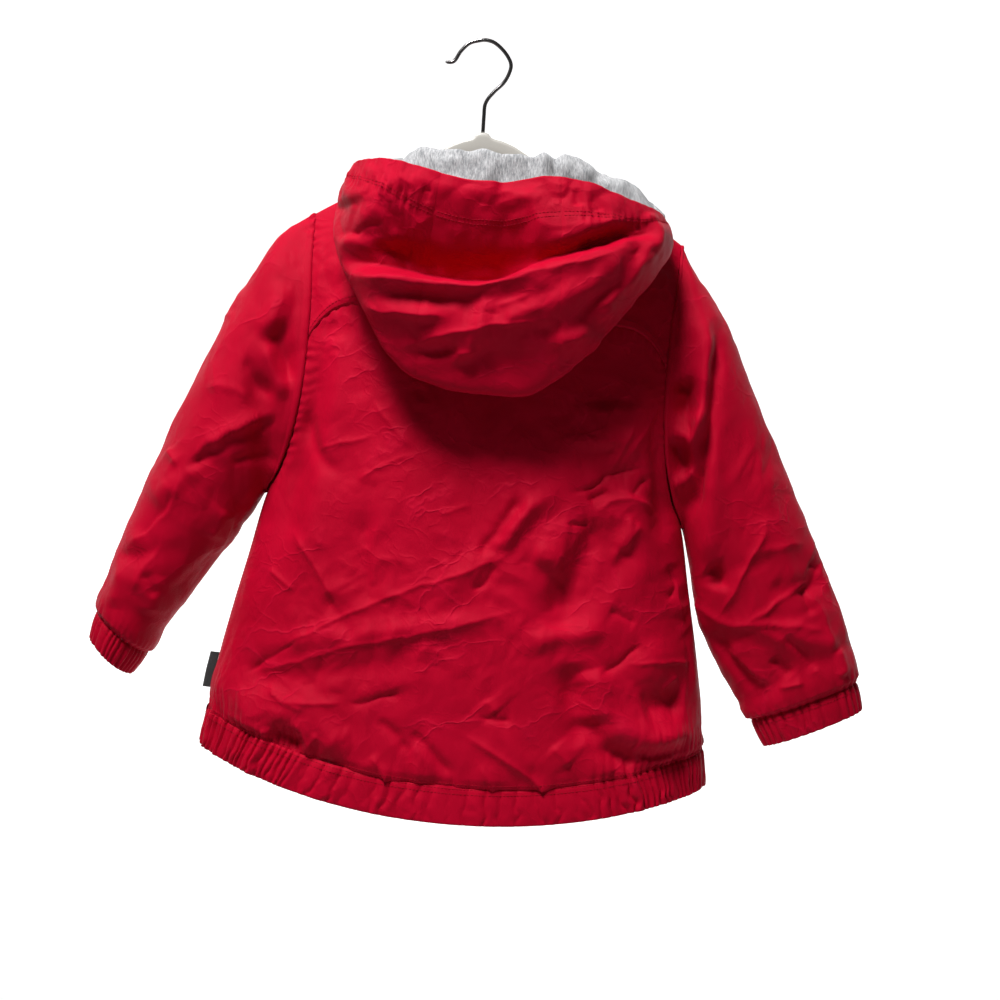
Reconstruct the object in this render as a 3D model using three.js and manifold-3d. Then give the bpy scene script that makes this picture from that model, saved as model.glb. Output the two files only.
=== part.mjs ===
// Kids rain jacket hung by its shoulders on a hanger, made as hollow walls of cloth.
// Millimetres, +Z up. The back of the jacket and its hood face -Y, and its own left side is at -X.
// The origin is the underside of the hook's crown, where a rail bears.
// "down" is always a distance below the crown, in the jacket's own upright frame.
import * as THREE from 'three';
import Module from 'manifold-3d';

const wasm = await Module();
wasm.setup();

// Driving dimensions
const jacketTilt = 5;
const jacketShift = 23;
const hangerTilt = 1.5;
const shell = 1.6;
const jersey = 1.2;
const gap = 0.3;
const neck = { halfWidth: 72, sideDown: 105, back: 38, backDrop: 13, front: 36, frontDrop: 45 };
const shoulder = { tip: 139, slope: 0.5, droop: 4 };
const yoke = { seamDown: 212, endShare: 0.456, endBend: 43, endStart: 90 };
const underarmDown = 352;
// Distances from the middle at which columns meet the neckline, and shares of the armhole's depth at
// which rows meet it, so that neighbouring pieces bend at the same points
const neckMarks = { back: [0, 10, 20, 30, 42, 55, 64, 69, 72], front: [72, 68, 62, 52, 38, 22, 8] };
const hoodTurnMark = 71.3;
const armholeShares = [0, 0.0245, 0.0955, 0.206, 0.345, 0.456, 0.59, 0.71, 0.82, 0.91, 0.972, 1];
const hem = { sideDown: 522, backDrop: 36, frontDrop: 26, band: 26, flare: 3.5 };
const hood = { frontHalfWidth: 8, crestGrowth: 1.04, panelMark: 30 };
const zip = { halfOpening: 5.5, topDown: 158, tape: 13, tapeThickness: 1.2, chain: 4.6, chainHeight: 1.5 };
const slider = { down: 172, width: 9.6, length: 13, plate: 2.2 };
const arch = { width: 2.6, height: 3.6, wall: 1.1 };
const pull = { width: 7, length: 24, bar: 1.2, window: 5.4, windowPast: 2.5 };
const hook = { wire: 3, sides: 8, steps: 46, end: 70.4 };
const hanger = { thickness: 7, edge: 1.6, armDepth: 12, tipDepth: 9, bossWidth: 12, bossTop: 70.7 };
const cuffGathers = { count: 27, height: 1.3 };
const hemGathers = { sideFrom: 112, side: { wave: 6.4, height: 1.5 }, middle: { wave: 17, height: 0.9 } };
const hoodGathers = { from: 0.22, to: 0.42, row: 0.91, height: 0.8 };
// Distance from a seam or the zip within which folds die out, and the share of a sleeve at each end
const foldFree = { atSeam: 14, atZip: 30, sleeveShare: 0.1 };
const label = { down: 481, length: 27, reach: 6.5, thickness: 1.2 };

const colours = {
  shell: '#b8102f',
  shellDark: '#a60d29',
  jersey: '#b9b9b8',
  hanger: '#b5b2aa',
  steel: '#4a4848',
  zip: '#8f0d24',
  black: '#141414',
};

// Body sections: half width to the seam at the side, depth at that seam and at mid back and front
const bodySections = [
  { down: 142, halfWidth: 139, backEdge: 8, back: 41, frontEdge: 8, front: 30, rounding: 1 },
  { down: 176, halfWidth: 137, backEdge: 20, back: 42, frontEdge: 18, front: 37, rounding: 1 },
  { down: 213, halfWidth: 134, backEdge: 26, back: 44, frontEdge: 22, front: 39, rounding: 1 },
  { down: 263, halfWidth: 134, backEdge: 29, back: 46, frontEdge: 24, front: 41, rounding: 1 },
  { down: 300, halfWidth: 138, backEdge: 26, back: 48, frontEdge: 22, front: 42, rounding: 0.95 },
  { down: 332, halfWidth: 147, backEdge: 15, back: 50, frontEdge: 13, front: 43, rounding: 0.7 },
  { down: 352, halfWidth: 157, backEdge: 0, back: 51, frontEdge: 0, front: 44, rounding: 0.5 },
  { down: 400, halfWidth: 167, backEdge: 0, back: 53, frontEdge: 0, front: 45, rounding: 0.5 },
  { down: 448, halfWidth: 177, backEdge: 0, back: 55, frontEdge: 0, front: 46, rounding: 0.5 },
  { down: 500, halfWidth: 186, backEdge: 0, back: 56, frontEdge: 0, front: 47, rounding: 0.5 },
  { down: 548, halfWidth: 190, backEdge: 0, back: 56, frontEdge: 0, front: 47, rounding: 0.5 },
  { down: 600, halfWidth: 192, backEdge: 0, back: 57, frontEdge: 0, front: 48, rounding: 0.5 },
];

// Sleeve sections after the armhole, measured out from the jacket's middle; the last is at the cuff seam
const sleeveSections = {
  left: [
    { at: 1, outerX: 166, outerDown: 163, innerX: 160.5, innerDown: 359, depth: 34 },
    { at: 2, outerX: 190, outerDown: 205, innerX: 167, innerDown: 371, depth: 38 },
    { at: 3, outerX: 212, outerDown: 258, innerX: 179, innerDown: 391, depth: 38 },
    { at: 4, outerX: 236, outerDown: 318, innerX: 195, innerDown: 417, depth: 36 },
    { at: 5, outerX: 255, outerDown: 373, innerX: 210, innerDown: 441, depth: 35 },
    { at: 6, outerX: 270, outerDown: 420, innerX: 224, innerDown: 462, depth: 34 },
    { at: 7, outerX: 277, outerDown: 456, innerX: 238, innerDown: 485, depth: 31 },
  ],
  right: [
    { at: 1, outerX: 151, outerDown: 162, innerX: 160.5, innerDown: 362, depth: 33 },
    { at: 2, outerX: 177, outerDown: 196, innerX: 166, innerDown: 382, depth: 35 },
    { at: 3, outerX: 207, outerDown: 256, innerX: 172.5, innerDown: 410, depth: 33 },
    { at: 4, outerX: 236, outerDown: 312, innerX: 180, innerDown: 434, depth: 29 },
    { at: 5, outerX: 264, outerDown: 367, innerX: 193, innerDown: 455, depth: 26 },
    { at: 6, outerX: 289, outerDown: 420, innerX: 208, innerDown: 478, depth: 23 },
    { at: 7, outerX: 300, outerDown: 461, innerX: 223, innerDown: 496, depth: 21 },
  ],
};

// Cuff mouths, past the cuff seam
const cuffMouths = {
  left: { outerX: 281, outerDown: 475, innerX: 248, innerDown: 502, depth: 30 },
  right: { outerX: 306, outerDown: 481, innerX: 234, innerDown: 515, depth: 20 },
};

// Hood sections from mid back (0) round each side of the neck to the front (1).
// The fold is the lowest line of the hanging pouch, the rim is the face edge.
const hoodSections = {
  left: [
    { at: 0, crest: 96, foldX: 0, foldY: -76, foldDown: 275, rimX: 0, rimY: -92, rimDown: 128, arch: 0, full: 1 },
    { at: 0.1, crest: 95, foldX: 34, foldY: -76, foldDown: 270, rimX: 30, rimY: -93, rimDown: 125, arch: 0, full: 1 },
    { at: 0.2, crest: 94, foldX: 66, foldY: -74, foldDown: 254, rimX: 60, rimY: -91, rimDown: 118, arch: 0, full: 1 },
    { at: 0.3, crest: 96, foldX: 93, foldY: -68, foldDown: 215, rimX: 84, rimY: -82, rimDown: 113, arch: 2, full: 0.8 },
    { at: 0.4, crest: 98, foldX: 114, foldY: -56, foldDown: 177, rimX: 104, rimY: -62, rimDown: 113, arch: 6, full: 0.5 },
    { at: 0.47, crest: 99, foldX: 119, foldY: -34, foldDown: 147, rimX: 109, rimY: -38, rimDown: 116, arch: 10, full: 0.3 },
    { at: 0.54, crest: 99, foldX: 108, foldY: -3, foldDown: 111, rimX: 113, rimY: -5, rimDown: 121, arch: 3, full: 0.1 },
    { at: 0.62, crest: 101, foldX: 103, foldY: 19, foldDown: 116, rimX: 111, rimY: 26, rimDown: 131, arch: 2, full: 0 },
    { at: 0.8, crest: 121, foldX: 72, foldY: 43, foldDown: 134, rimX: 76, rimY: 50, rimDown: 153, arch: 1, full: 0 },
    { at: 1, crest: 140, foldX: 13, foldY: 46, foldDown: 147, rimX: 16, rimY: 50, rimDown: 161, arch: 0, full: 0 },
  ],
  right: [
    { at: 0, crest: 96, foldX: 0, foldY: -76, foldDown: 275, rimX: 0, rimY: -92, rimDown: 128, arch: 0, full: 1 },
    { at: 0.1, crest: 95, foldX: 34, foldY: -76, foldDown: 270, rimX: 30, rimY: -93, rimDown: 119, arch: 0, full: 1 },
    { at: 0.2, crest: 94, foldX: 64, foldY: -74, foldDown: 246, rimX: 60, rimY: -91, rimDown: 119, arch: 0, full: 1 },
    { at: 0.3, crest: 96, foldX: 94, foldY: -68, foldDown: 208, rimX: 90, rimY: -82, rimDown: 126, arch: 2, full: 0.8 },
    { at: 0.4, crest: 98, foldX: 118, foldY: -56, foldDown: 172, rimX: 114, rimY: -62, rimDown: 130, arch: 6, full: 0.5 },
    { at: 0.47, crest: 99, foldX: 127, foldY: -33, foldDown: 148, rimX: 121, rimY: -39, rimDown: 131, arch: 10, full: 0.3 },
    { at: 0.54, crest: 99, foldX: 112, foldY: -3, foldDown: 114, rimX: 120, rimY: -5, rimDown: 126, arch: 4, full: 0.1 },
    { at: 0.62, crest: 101, foldX: 105, foldY: 19, foldDown: 117, rimX: 114, rimY: 26, rimDown: 133, arch: 2, full: 0 },
    { at: 0.8, crest: 121, foldX: 72, foldY: 43, foldDown: 134, rimX: 76, rimY: 50, rimDown: 153, arch: 1, full: 0 },
    { at: 1, crest: 140, foldX: 13, foldY: 46, foldDown: 147, rimX: 16, rimY: 50, rimDown: 161, arch: 0, full: 0 },
  ],
};

// Largest folds: soft ridges (height above 0) and troughs (below 0) between two points of the cloth
const backFolds = [
  { x1: -122, down1: 250, x2: -140, down2: 400, width: 11, height: -4 },
  { x1: -104, down1: 240, x2: -118, down2: 420, width: 14, height: 3.5 },
  { x1: 112, down1: 240, x2: 128, down2: 420, width: 13, height: 4 },
  { x1: 128, down1: 262, x2: 142, down2: 372, width: 9, height: -4 },
  { x1: -30, down1: 290, x2: 20, down2: 400, width: 16, height: -3 },
  { x1: 60, down1: 330, x2: -20, down2: 420, width: 10, height: 3 },
  { x1: 130, down1: 360, x2: 60, down2: 450, width: 13, height: -4 },
  { x1: -150, down1: 470, x2: 30, down2: 432, width: 7, height: 2.5 },
  { x1: -168, down1: 500, x2: -40, down2: 470, width: 9, height: -2.5 },
  { x1: 78, down1: 470, x2: 116, down2: 530, width: 12, height: -4 },
  { x1: 140, down1: 440, x2: 150, down2: 505, width: 14, height: 4 },
  { x1: -120, down1: 505, x2: -80, down2: 540, width: 10, height: 3 },
  { x1: 20, down1: 500, x2: 60, down2: 545, width: 10, height: 2.5 },
];
const frontFolds = [
  { x1: -105, down1: 230, x2: -122, down2: 420, width: 14, height: 3.5 },
  { x1: 105, down1: 230, x2: 120, down2: 400, width: 14, height: 3.5 },
  { x1: -60, down1: 330, x2: -110, down2: 470, width: 12, height: -3 },
  { x1: 50, down1: 360, x2: 110, down2: 460, width: 12, height: -3 },
  { x1: -150, down1: 480, x2: -70, down2: 510, width: 10, height: 2.5 },
  { x1: 150, down1: 470, x2: 60, down2: 520, width: 10, height: 2.5 },
];
const hoodFolds = [
  { x1: -112, down1: 172, x2: -30, down2: 180, width: 11, height: -13 },
  { x1: -40, down1: 181, x2: 50, down2: 174, width: 10, height: -10 },
  { x1: 40, down1: 176, x2: 112, down2: 138, width: 8, height: -8 },
  { x1: -100, down1: 196, x2: 0, down2: 203, width: 9, height: 4 },
  { x1: 0, down1: 201, x2: 100, down2: 156, width: 9, height: 4 },
  { x1: 10, down1: 228, x2: 112, down2: 166, width: 8, height: 3 },
  { x1: 30, down1: 232, x2: 104, down2: 186, width: 7, height: -3 },
  { x1: -84, down1: 216, x2: -28, down2: 224, width: 6, height: 3 },
  { x1: -46, down1: 246, x2: 8, down2: 228, width: 7, height: 3.5 },
  { x1: -56, down1: 234, x2: -10, down2: 216, width: 6, height: -3 },
];
const sleeveFolds = [
  { x1: -200, down1: 330, x2: -160, down2: 300, width: 9, height: 3.5 },
  { x1: -240, down1: 372, x2: -206, down2: 340, width: 9, height: 3.5 },
  { x1: -172, down1: 268, x2: -150, down2: 340, width: 10, height: -4 },
  { x1: -262, down1: 420, x2: -226, down2: 404, width: 8, height: -3 },
  { x1: 156, down1: 270, x2: 160, down2: 350, width: 9, height: -5 },
  { x1: 172, down1: 292, x2: 178, down2: 380, width: 9, height: 3.5 },
  { x1: 206, down1: 300, x2: 250, down2: 420, width: 10, height: 3 },
  { x1: 226, down1: 400, x2: 268, down2: 386, width: 8, height: -4 },
  { x1: 230, down1: 428, x2: 284, down2: 436, width: 8, height: 3.5 },
];

const point = (x, y, z) => new THREE.Vector3(x, y, z);
const mix = THREE.MathUtils.lerp;

/** Reads a column of a table between its rows, as a smooth curve. */
function column(rows, name, at, key = 'down') {
  const last = rows.length - 1;
  const place = THREE.MathUtils.clamp(at, rows[0][key], rows[last][key]);
  let row = 0;
  while (row < last - 1 && place > rows[row + 1][key]) row += 1;
  const slope = (k) => {
    const before = rows[Math.max(k - 1, 0)];
    const after = rows[Math.min(k + 1, last)];
    return (after[name] - before[name]) / (after[key] - before[key]);
  };
  const span = rows[row + 1][key] - rows[row][key];
  const t = (place - rows[row][key]) / span;
  const ends = rows[row][name] * (1 + 2 * t) * (1 - t) ** 2 + rows[row + 1][name] * t * t * (3 - 2 * t);
  return ends + span * t * (1 - t) * (slope(row) * (1 - t) - slope(row + 1) * t);
}

/** Height that a table of folds gives at a place on the cloth. */
function foldHeight(folds, x, down) {
  let height = 0;
  for (const fold of folds) {
    const alongX = fold.x2 - fold.x1;
    const alongDown = fold.down2 - fold.down1;
    const length = Math.hypot(alongX, alongDown);
    const along = ((x - fold.x1) * alongX + (down - fold.down1) * alongDown) / (length * length);
    const across = ((x - fold.x1) * alongDown - (down - fold.down1) * alongX) / length;
    const past = Math.max(0, Math.abs(along - 0.5) - 0.3) * length;
    height += fold.height * Math.exp(-((across / fold.width) ** 2) - (past / (0.14 * length)) ** 2);
  }
  return height;
}

/** Evenly spaced values from one end to the other. */
function spaced(count, from, to) {
  return Array.from({ length: count + 1 }, (_, i) => mix(from, to, i / count));
}

/** Outward normal of a skin at (u, v), by differences that stay inside its range. */
function skinNormal(skin, u, v, range, flip) {
  const step = 0.004;
  const clampU = (value) => THREE.MathUtils.clamp(value, range.u[0], range.u[1]);
  const clampV = (value) => THREE.MathUtils.clamp(value, range.v[0], range.v[1]);
  const stepU = step * (range.u[1] - range.u[0]);
  const stepV = step * (range.v[1] - range.v[0]);
  const alongU = skin(clampU(u + stepU), v).sub(skin(clampU(u - stepU), v));
  const alongV = skin(u, clampV(v + stepV)).sub(skin(u, clampV(v - stepV)));
  return alongU.cross(alongV).normalize().multiplyScalar(flip ? -1 : 1);
}

/** Joins an outer and an inner grid of points into one closed wall. */
function closeWall(outer, inner, around) {
  const rows = outer.length;
  const columns = outer[0].length;
  const positions = [...outer.flat(), ...inner.flat()].flatMap((p) => [p.x, p.y, p.z]);
  const index = [];
  const outerAt = (r, c) => r * columns + (c % columns);
  const innerAt = (r, c) => rows * columns + outerAt(r, c);
  const quad = (a, b, c, d) => index.push(a, b, c, a, c, d);
  const lastColumn = around ? columns : columns - 1;
  for (let c = 0; c < lastColumn; c += 1) {
    for (let r = 0; r < rows - 1; r += 1) {
      quad(outerAt(r, c), outerAt(r, c + 1), outerAt(r + 1, c + 1), outerAt(r + 1, c));
      quad(innerAt(r, c), innerAt(r + 1, c), innerAt(r + 1, c + 1), innerAt(r, c + 1));
    }
    quad(outerAt(0, c + 1), outerAt(0, c), innerAt(0, c), innerAt(0, c + 1));
    quad(outerAt(rows - 1, c), outerAt(rows - 1, c + 1), innerAt(rows - 1, c + 1), innerAt(rows - 1, c));
  }
  if (!around) {
    for (let r = 0; r < rows - 1; r += 1) {
      quad(outerAt(r, 0), outerAt(r + 1, 0), innerAt(r + 1, 0), innerAt(r, 0));
      quad(outerAt(r + 1, columns - 1), outerAt(r, columns - 1), innerAt(r, columns - 1),
        innerAt(r + 1, columns - 1));
    }
  }
  return facingOut(positions, index);
}

/** Makes a geometry and turns its faces outward if its volume comes out negative. */
function facingOut(positions, index) {
  let volume = 0;
  const corner = (i) => point(positions[3 * i], positions[3 * i + 1], positions[3 * i + 2]);
  for (let i = 0; i < index.length; i += 3) {
    volume += corner(index[i]).dot(corner(index[i + 1]).cross(corner(index[i + 2])));
  }
  if (volume < 0) index.reverse();
  const geometry = new THREE.BufferGeometry();
  geometry.setAttribute('position', new THREE.Float32BufferAttribute(positions, 3));
  geometry.setIndex(index);
  geometry.computeVertexNormals();
  return geometry;
}

/**
 * A wall of cloth on a skin. The folds bend the whole wall, the relief raises only its outside.
 * skin(u, v) gives a point, us and vs are the columns and rows.
 */
function clothWall({ skin, us, vs, range, flip = false, thickness = shell, offset = 0,
  folds = () => 0, relief = () => 0, around = false }) {
  const outer = [];
  const inner = [];
  for (const v of vs) {
    const outerRow = [];
    const innerRow = [];
    for (const u of us) {
      const base = skin(u, v);
      const normal = skinNormal(skin, u, v, range, flip);
      base.addScaledVector(normal, folds(base, u, v) + offset);
      outerRow.push(base.clone().addScaledVector(normal, relief(u, v)));
      innerRow.push(base.clone().addScaledVector(normal, -thickness));
    }
    outer.push(outerRow);
    inner.push(innerRow);
  }
  return closeWall(outer, inner, around);
}

// Body skins

const depthProfile = 2.6;
const seamHalf = 1;

/** Distance of the back or front from the jacket's middle plane. */
function bodyDepth(side, x, down) {
  const half = column(bodySections, 'halfWidth', down);
  const edge = column(bodySections, `${side}Edge`, down);
  const centre = column(bodySections, side, down);
  const across = Math.min(Math.abs(x) / half, 1);
  const swell = (1 - across ** depthProfile) ** column(bodySections, 'rounding', down);
  return gap / 2 + edge + (centre - edge) * swell;
}

/** The line along the shoulder and round the neck that a panel starts from. */
function topEdge(side, x) {
  const across = Math.abs(x);
  if (across >= neck.halfWidth) {
    const out = (across - neck.halfWidth) / (shoulder.tip - neck.halfWidth);
    const fall = shoulder.slope * (across - neck.halfWidth) + shoulder.droop * out ** 3;
    return point(x, side === 'back' ? -seamHalf : seamHalf, -neck.sideDown - fall);
  }
  const inward = Math.sqrt(1 - (across / neck.halfWidth) ** 2);
  const reach = side === 'back' ? -neck.back : neck.front;
  const drop = side === 'back' ? neck.backDrop : neck.frontDrop;
  const y = reach * inward + (side === 'back' ? -seamHalf : seamHalf);
  return point(x, y, -neck.sideDown - drop * inward ** 2);
}

/** How far a cloth that leaves the shoulder line has come out to its full depth. */
const shoulderEase = (t) => (1 - (1 - Math.min(t, 1)) ** 3) ** 0.6;

const armholeTop = -topEdge('back', shoulder.tip).z;
const armholeDown = (share) => mix(armholeTop, underarmDown, share);
const yokeEndDown = armholeDown(yoke.endShare);
const yokeSeamDown = (x) => {
  const bend = Math.max(0, Math.abs(x) - yoke.endStart) / yoke.endBend;
  return yoke.seamDown + (yokeEndDown - yoke.seamDown) * bend ** 3;
};
const hemTopDown = (side, x) => {
  const drop = side === 'back' ? hem.backDrop : hem.frontDrop;
  return hem.sideDown + drop * (1 - Math.min(1, (x / column(bodySections, 'halfWidth', hem.sideDown)) ** 2));
};

/** Back yoke: u from -1 at the left armhole to 1 at the right, v from the shoulder to the yoke seam. */
function yokeSkin(u, v) {
  const top = topEdge('back', u * shoulder.tip);
  const edgeDown = mix(armholeTop, yokeEndDown, v);
  const x = u * column(bodySections, 'halfWidth', edgeDown);
  const seam = yokeSeamDown(u * column(bodySections, 'halfWidth', yokeEndDown));
  const down = mix(-top.z, seam, v);
  return point(x, mix(top.y, -bodyDepth('back', x, down), shoulderEase(v)), -down);
}

/** Back panel: v from the yoke seam to the hem band. */
function backSkin(u, v) {
  const x = u * column(bodySections, 'halfWidth', mix(yokeEndDown, hem.sideDown, v));
  const seam = yokeSeamDown(u * column(bodySections, 'halfWidth', yokeEndDown));
  const down = mix(seam, hemTopDown('back', x), v);
  return point(x, -bodyDepth('back', x, down), -down);
}

// Row of each skin that meets the side of the jacket at a given place
const yokeRow = (edgeDown) => (edgeDown - armholeTop) / (yokeEndDown - armholeTop);
const backRow = (edgeDown) => (edgeDown - yokeEndDown) / (hem.sideDown - yokeEndDown);
const frontRow = (edgeDown) => (edgeDown - armholeTop) / (hem.sideDown - armholeTop);

const frontTopShare = 0.25;

/** One front: u from the zip (0) to the side (1), v from the shoulder to the hem band. */
function frontSkin(sign, u, v) {
  const top = topEdge('front', mix(zip.halfOpening, shoulder.tip, u));
  const half = column(bodySections, 'halfWidth', mix(armholeTop, hem.sideDown, v));
  const x = mix(zip.halfOpening, half, u);
  const down = mix(-top.z, hemTopDown('front', x), v);
  const depth = bodyDepth('front', x, down);
  return point(sign * x, mix(top.y, depth, shoulderEase(v / frontTopShare)), -down);
}

/** Hem band: around goes 0 to 1 over the right front, to 3 over the back, to 4 over the left front. */
function bandSkin(around, v) {
  const onBack = around > 1 && around < 3;
  const side = onBack ? 'back' : 'front';
  const half = column(bodySections, 'halfWidth', hem.sideDown);
  const frontTurn = around <= 1 ? around : 4 - around;
  const frontX = mix(zip.halfOpening, half, Math.sin((Math.PI / 2) * frontTurn));
  const x = onBack ? half * Math.cos((Math.PI / 2) * (around - 1)) : frontX * (around <= 1 ? 1 : -1);
  const down = hemTopDown(side, x);
  const depth = bodyDepth(side, x, Math.min(down, hem.sideDown)) * (onBack ? -1 : 1);
  const grown = 1 + (v * hem.flare) / half;
  const grownX = Math.abs(x) > zip.halfOpening + 1 ? x * grown : x;
  return point(grownX, depth + Math.sign(depth) * v * hem.flare * 0.6, -down - gap - v * hem.band);
}

// Sleeves

/** The armhole seam: turn 0 at the shoulder, pi at the underarm, back side first. */
function armhole(sign, turn) {
  const edgeDown = armholeDown((1 - Math.cos(turn)) / 2);
  if (turn > Math.PI) return frontSkin(sign, 1, frontRow(edgeDown));
  if (edgeDown < yokeEndDown) return yokeSkin(sign, yokeRow(edgeDown));
  return backSkin(sign, backRow(edgeDown));
}

/** One ring of a sleeve or cuff from its outer and inner edge. */
function sleeveRing(sign, section, turn) {
  const x = mix(section.outerX, section.innerX, (1 - Math.cos(turn)) / 2);
  const down = mix(section.outerDown, section.innerDown, (1 - Math.cos(turn)) / 2);
  return point(sign * x, -section.depth * Math.sin(turn), -down);
}

/** Sleeve: u is the turn round the arm, v runs 0 at the armhole to 1 at the cuff seam. */
function sleeveSkin(sign, sections, u, v) {
  const seam = armhole(sign, u);
  const low = (1 - Math.cos(u)) / 2;
  const start = { at: 0, x: seam.x + sign * mix(0.5, 1.8, low ** 4), y: seam.y, z: seam.z };
  const rings = sections.map((section) => {
    const ring = sleeveRing(sign, section, u);
    return { at: section.at, x: ring.x, y: ring.y, z: ring.z };
  });
  const rows = [start, ...rings];
  const at = v * rings.length;
  return point(column(rows, 'x', at, 'at'), column(rows, 'y', at, 'at'), column(rows, 'z', at, 'at'));
}

/** Cuff: v runs 0 at its seam to 1 at its mouth. */
function cuffSkin(sign, sections, mouth, u, v) {
  const start = sleeveRing(sign, sections[sections.length - 1], u);
  const end = sleeveRing(sign, mouth, u);
  const seamGap = 0.02;
  return start.lerp(end, mix(seamGap, 1, v));
}

// Hood

const hoodTurn = Math.PI - Math.asin(hood.frontHalfWidth / neck.halfWidth);
const hoodAt = (mark, onBack) => {
  const turn = Math.asin(mark / neck.halfWidth);
  return (onBack ? turn : Math.PI - turn) / hoodTurn;
};

/** One column of the hood: the points that its sheet bends through, from neck seam to face edge. */
function hoodColumn(side, at) {
  const sign = side === 'left' ? -1 : 1;
  const rows = hoodSections[side];
  const read = (name) => column(rows, name, at, 'at');
  const turn = at * hoodTurn;
  const onBack = Math.cos(turn) > 0;
  const seam = point(sign * neck.halfWidth * Math.sin(turn), 0, 0);
  const inward = Math.abs(Math.cos(turn));
  const aside = THREE.MathUtils.clamp(8 * Math.cos(turn), -1, 1);
  seam.y = (onBack ? -neck.back : neck.front) * inward - aside * seamHalf;
  seam.z = -neck.sideDown - (onBack ? neck.backDrop : neck.frontDrop) * inward ** 2 + 2 * gap;
  const crest = point(seam.x * hood.crestGrowth, seam.y * hood.crestGrowth, -read('crest'));
  const fold = point(sign * read('foldX'), read('foldY'), -read('foldDown'));
  const rim = point(sign * read('rimX'), read('rimY'), -read('rimDown'));
  const full = read('full');
  const innerMid = crest.clone().lerp(fold, 0.45);
  innerMid.z += read('arch');
  innerMid.y += 5 * full;
  const bulge = (share, out) => {
    const place = fold.clone().lerp(rim, share);
    const away = point(place.x * 0.004 * full, -full, 0);
    return place.addScaledVector(away, out);
  };
  const points = [seam, crest, innerMid, fold, bulge(0.2, 15), bulge(0.5, 18), bulge(0.8, 9), rim];
  return new THREE.CatmullRomCurve3(points, false, 'centripetal');
}

const hoodColumns = new Map();

/** Hood sheet: u from -1 (left front) over 0 (mid back) to 1, v from neck seam to face edge. */
function hoodSkin(u, v) {
  const key = Math.round(u * 1e6);
  if (!hoodColumns.has(key)) hoodColumns.set(key, hoodColumn(u < 0 ? 'left' : 'right', Math.abs(u)));
  return hoodColumns.get(key).getPoint(v);
}

const hoodOuterWall = 0.47;

/** Folds bend only the outside of the pouch. */
function hoodBend(base, u, v) {
  const share = THREE.MathUtils.smoothstep(v, hoodOuterWall, hoodOuterWall + 0.12);
  const atRim = 1 - 0.75 * THREE.MathUtils.smoothstep(v, 0.9, 1);
  return foldHeight(hoodFolds, base.x, -base.z) * share * atRim;
}

// Gathers

/** Columns round a gathered ring, one at each crest and one at each trough, by arc length. */
function gatherColumns(skin, from, to, waveAt) {
  const samples = 900;
  const columns = [from];
  let phase = 0;
  let last = skin(from, 0.5);
  for (let i = 1; i <= samples; i += 1) {
    const u = mix(from, to, i / samples);
    const here = skin(u, 0.5);
    phase += here.distanceTo(last) / waveAt(here);
    last = here;
    if (phase >= 0.5 * columns.length && i < samples - 2) columns.push(u);
  }
  columns.push(to);
  return columns;
}

/** Relief that stands up at every second column of a gathered ring. */
function gatherRelief(columns, heightAt) {
  const order = new Map(columns.map((u, i) => [u, i]));
  return (u) => (order.get(u) % 2 === 1 ? heightAt(u) : 0);
}

// Assembly

const jacket = new THREE.Group();

function finish(colour, roughness, metalness = 0) {
  return new THREE.MeshStandardMaterial({ color: colour, roughness, metalness, side: THREE.DoubleSide });
}

function place(group, name, geometry, colour, roughness = 0.5, metalness = 0) {
  const mesh = new THREE.Mesh(geometry, finish(colour, roughness, metalness));
  mesh.name = name;
  group.add(mesh);
  return mesh;
}

// Shares of the half width at which columns run down from the shoulder
const shoulderColumns = { back: [0.61, 0.7, 0.79, 0.88, 0.95, 1], front: [0.62, 0.74, 0.85, 0.94, 1] };
const bothSides = (columns) => [...columns.slice(1).reverse().map((u) => -u), ...columns];
const acrossBack = bothSides([
  ...neckMarks.back.map((mark) => mark / shoulder.tip),
  ...shoulderColumns.back,
]);
const hemSeam = 0.0005;

function addBack() {
  const range = { u: [-1, 1], v: [0, 1] };
  const seamShare = gap / 2 / (yokeEndDown - armholeTop);
  const yokeRows = armholeShares.filter((share) => share > 0 && share < yoke.endShare);
  const panelRows = armholeShares.filter((share) => share > yoke.endShare);
  place(jacket, 'back_yoke', clothWall({
    skin: yokeSkin,
    us: acrossBack,
    vs: [0, ...yokeRows.map((share) => yokeRow(armholeDown(share))), 1 - seamShare],
    range,
    flip: true,
    folds: (base, u, v) => foldHeight(backFolds, base.x, -base.z) * v,
  }), colours.shell);
  place(jacket, 'back_panel', clothWall({
    skin: backSkin,
    us: acrossBack,
    vs: [seamShare, ...panelRows.map((share) => backRow(armholeDown(share))),
      ...spaced(9, backRow(underarmDown), 1 - hemSeam).slice(1)],
    range,
    flip: true,
    folds: (base) => foldHeight(backFolds, base.x, -base.z) * edgeFade(base),
  }), colours.shell);
}

/** Folds die out at the side and armhole seams, where the panels are sewn to their neighbours. */
function edgeFade(base) {
  const half = column(bodySections, 'halfWidth', -base.z);
  return THREE.MathUtils.smoothstep(half - Math.abs(base.x), 0, foldFree.atSeam);
}

const frontRows = [
  ...armholeShares.map((share) => frontRow(armholeDown(share))),
  ...spaced(7, frontRow(underarmDown), 1 - hemSeam).slice(1),
];

function addFront(name, sign) {
  const columnAt = (mark) => (mark - zip.halfOpening) / (shoulder.tip - zip.halfOpening);
  const neckColumns = neckMarks.front.map(columnAt).reverse();
  place(jacket, name, clothWall({
    skin: (u, v) => frontSkin(sign, u, v),
    us: [0, ...neckColumns, ...shoulderColumns.front],
    vs: frontRows,
    range: { u: [0, 1], v: [0, 1] },
    flip: sign < 0,
    folds: (base) => foldHeight(frontFolds, base.x, -base.z) * edgeFade(base)
      * THREE.MathUtils.smoothstep(Math.abs(base.x), zip.halfOpening, foldFree.atZip),
  }), colours.shell);
}

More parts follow.
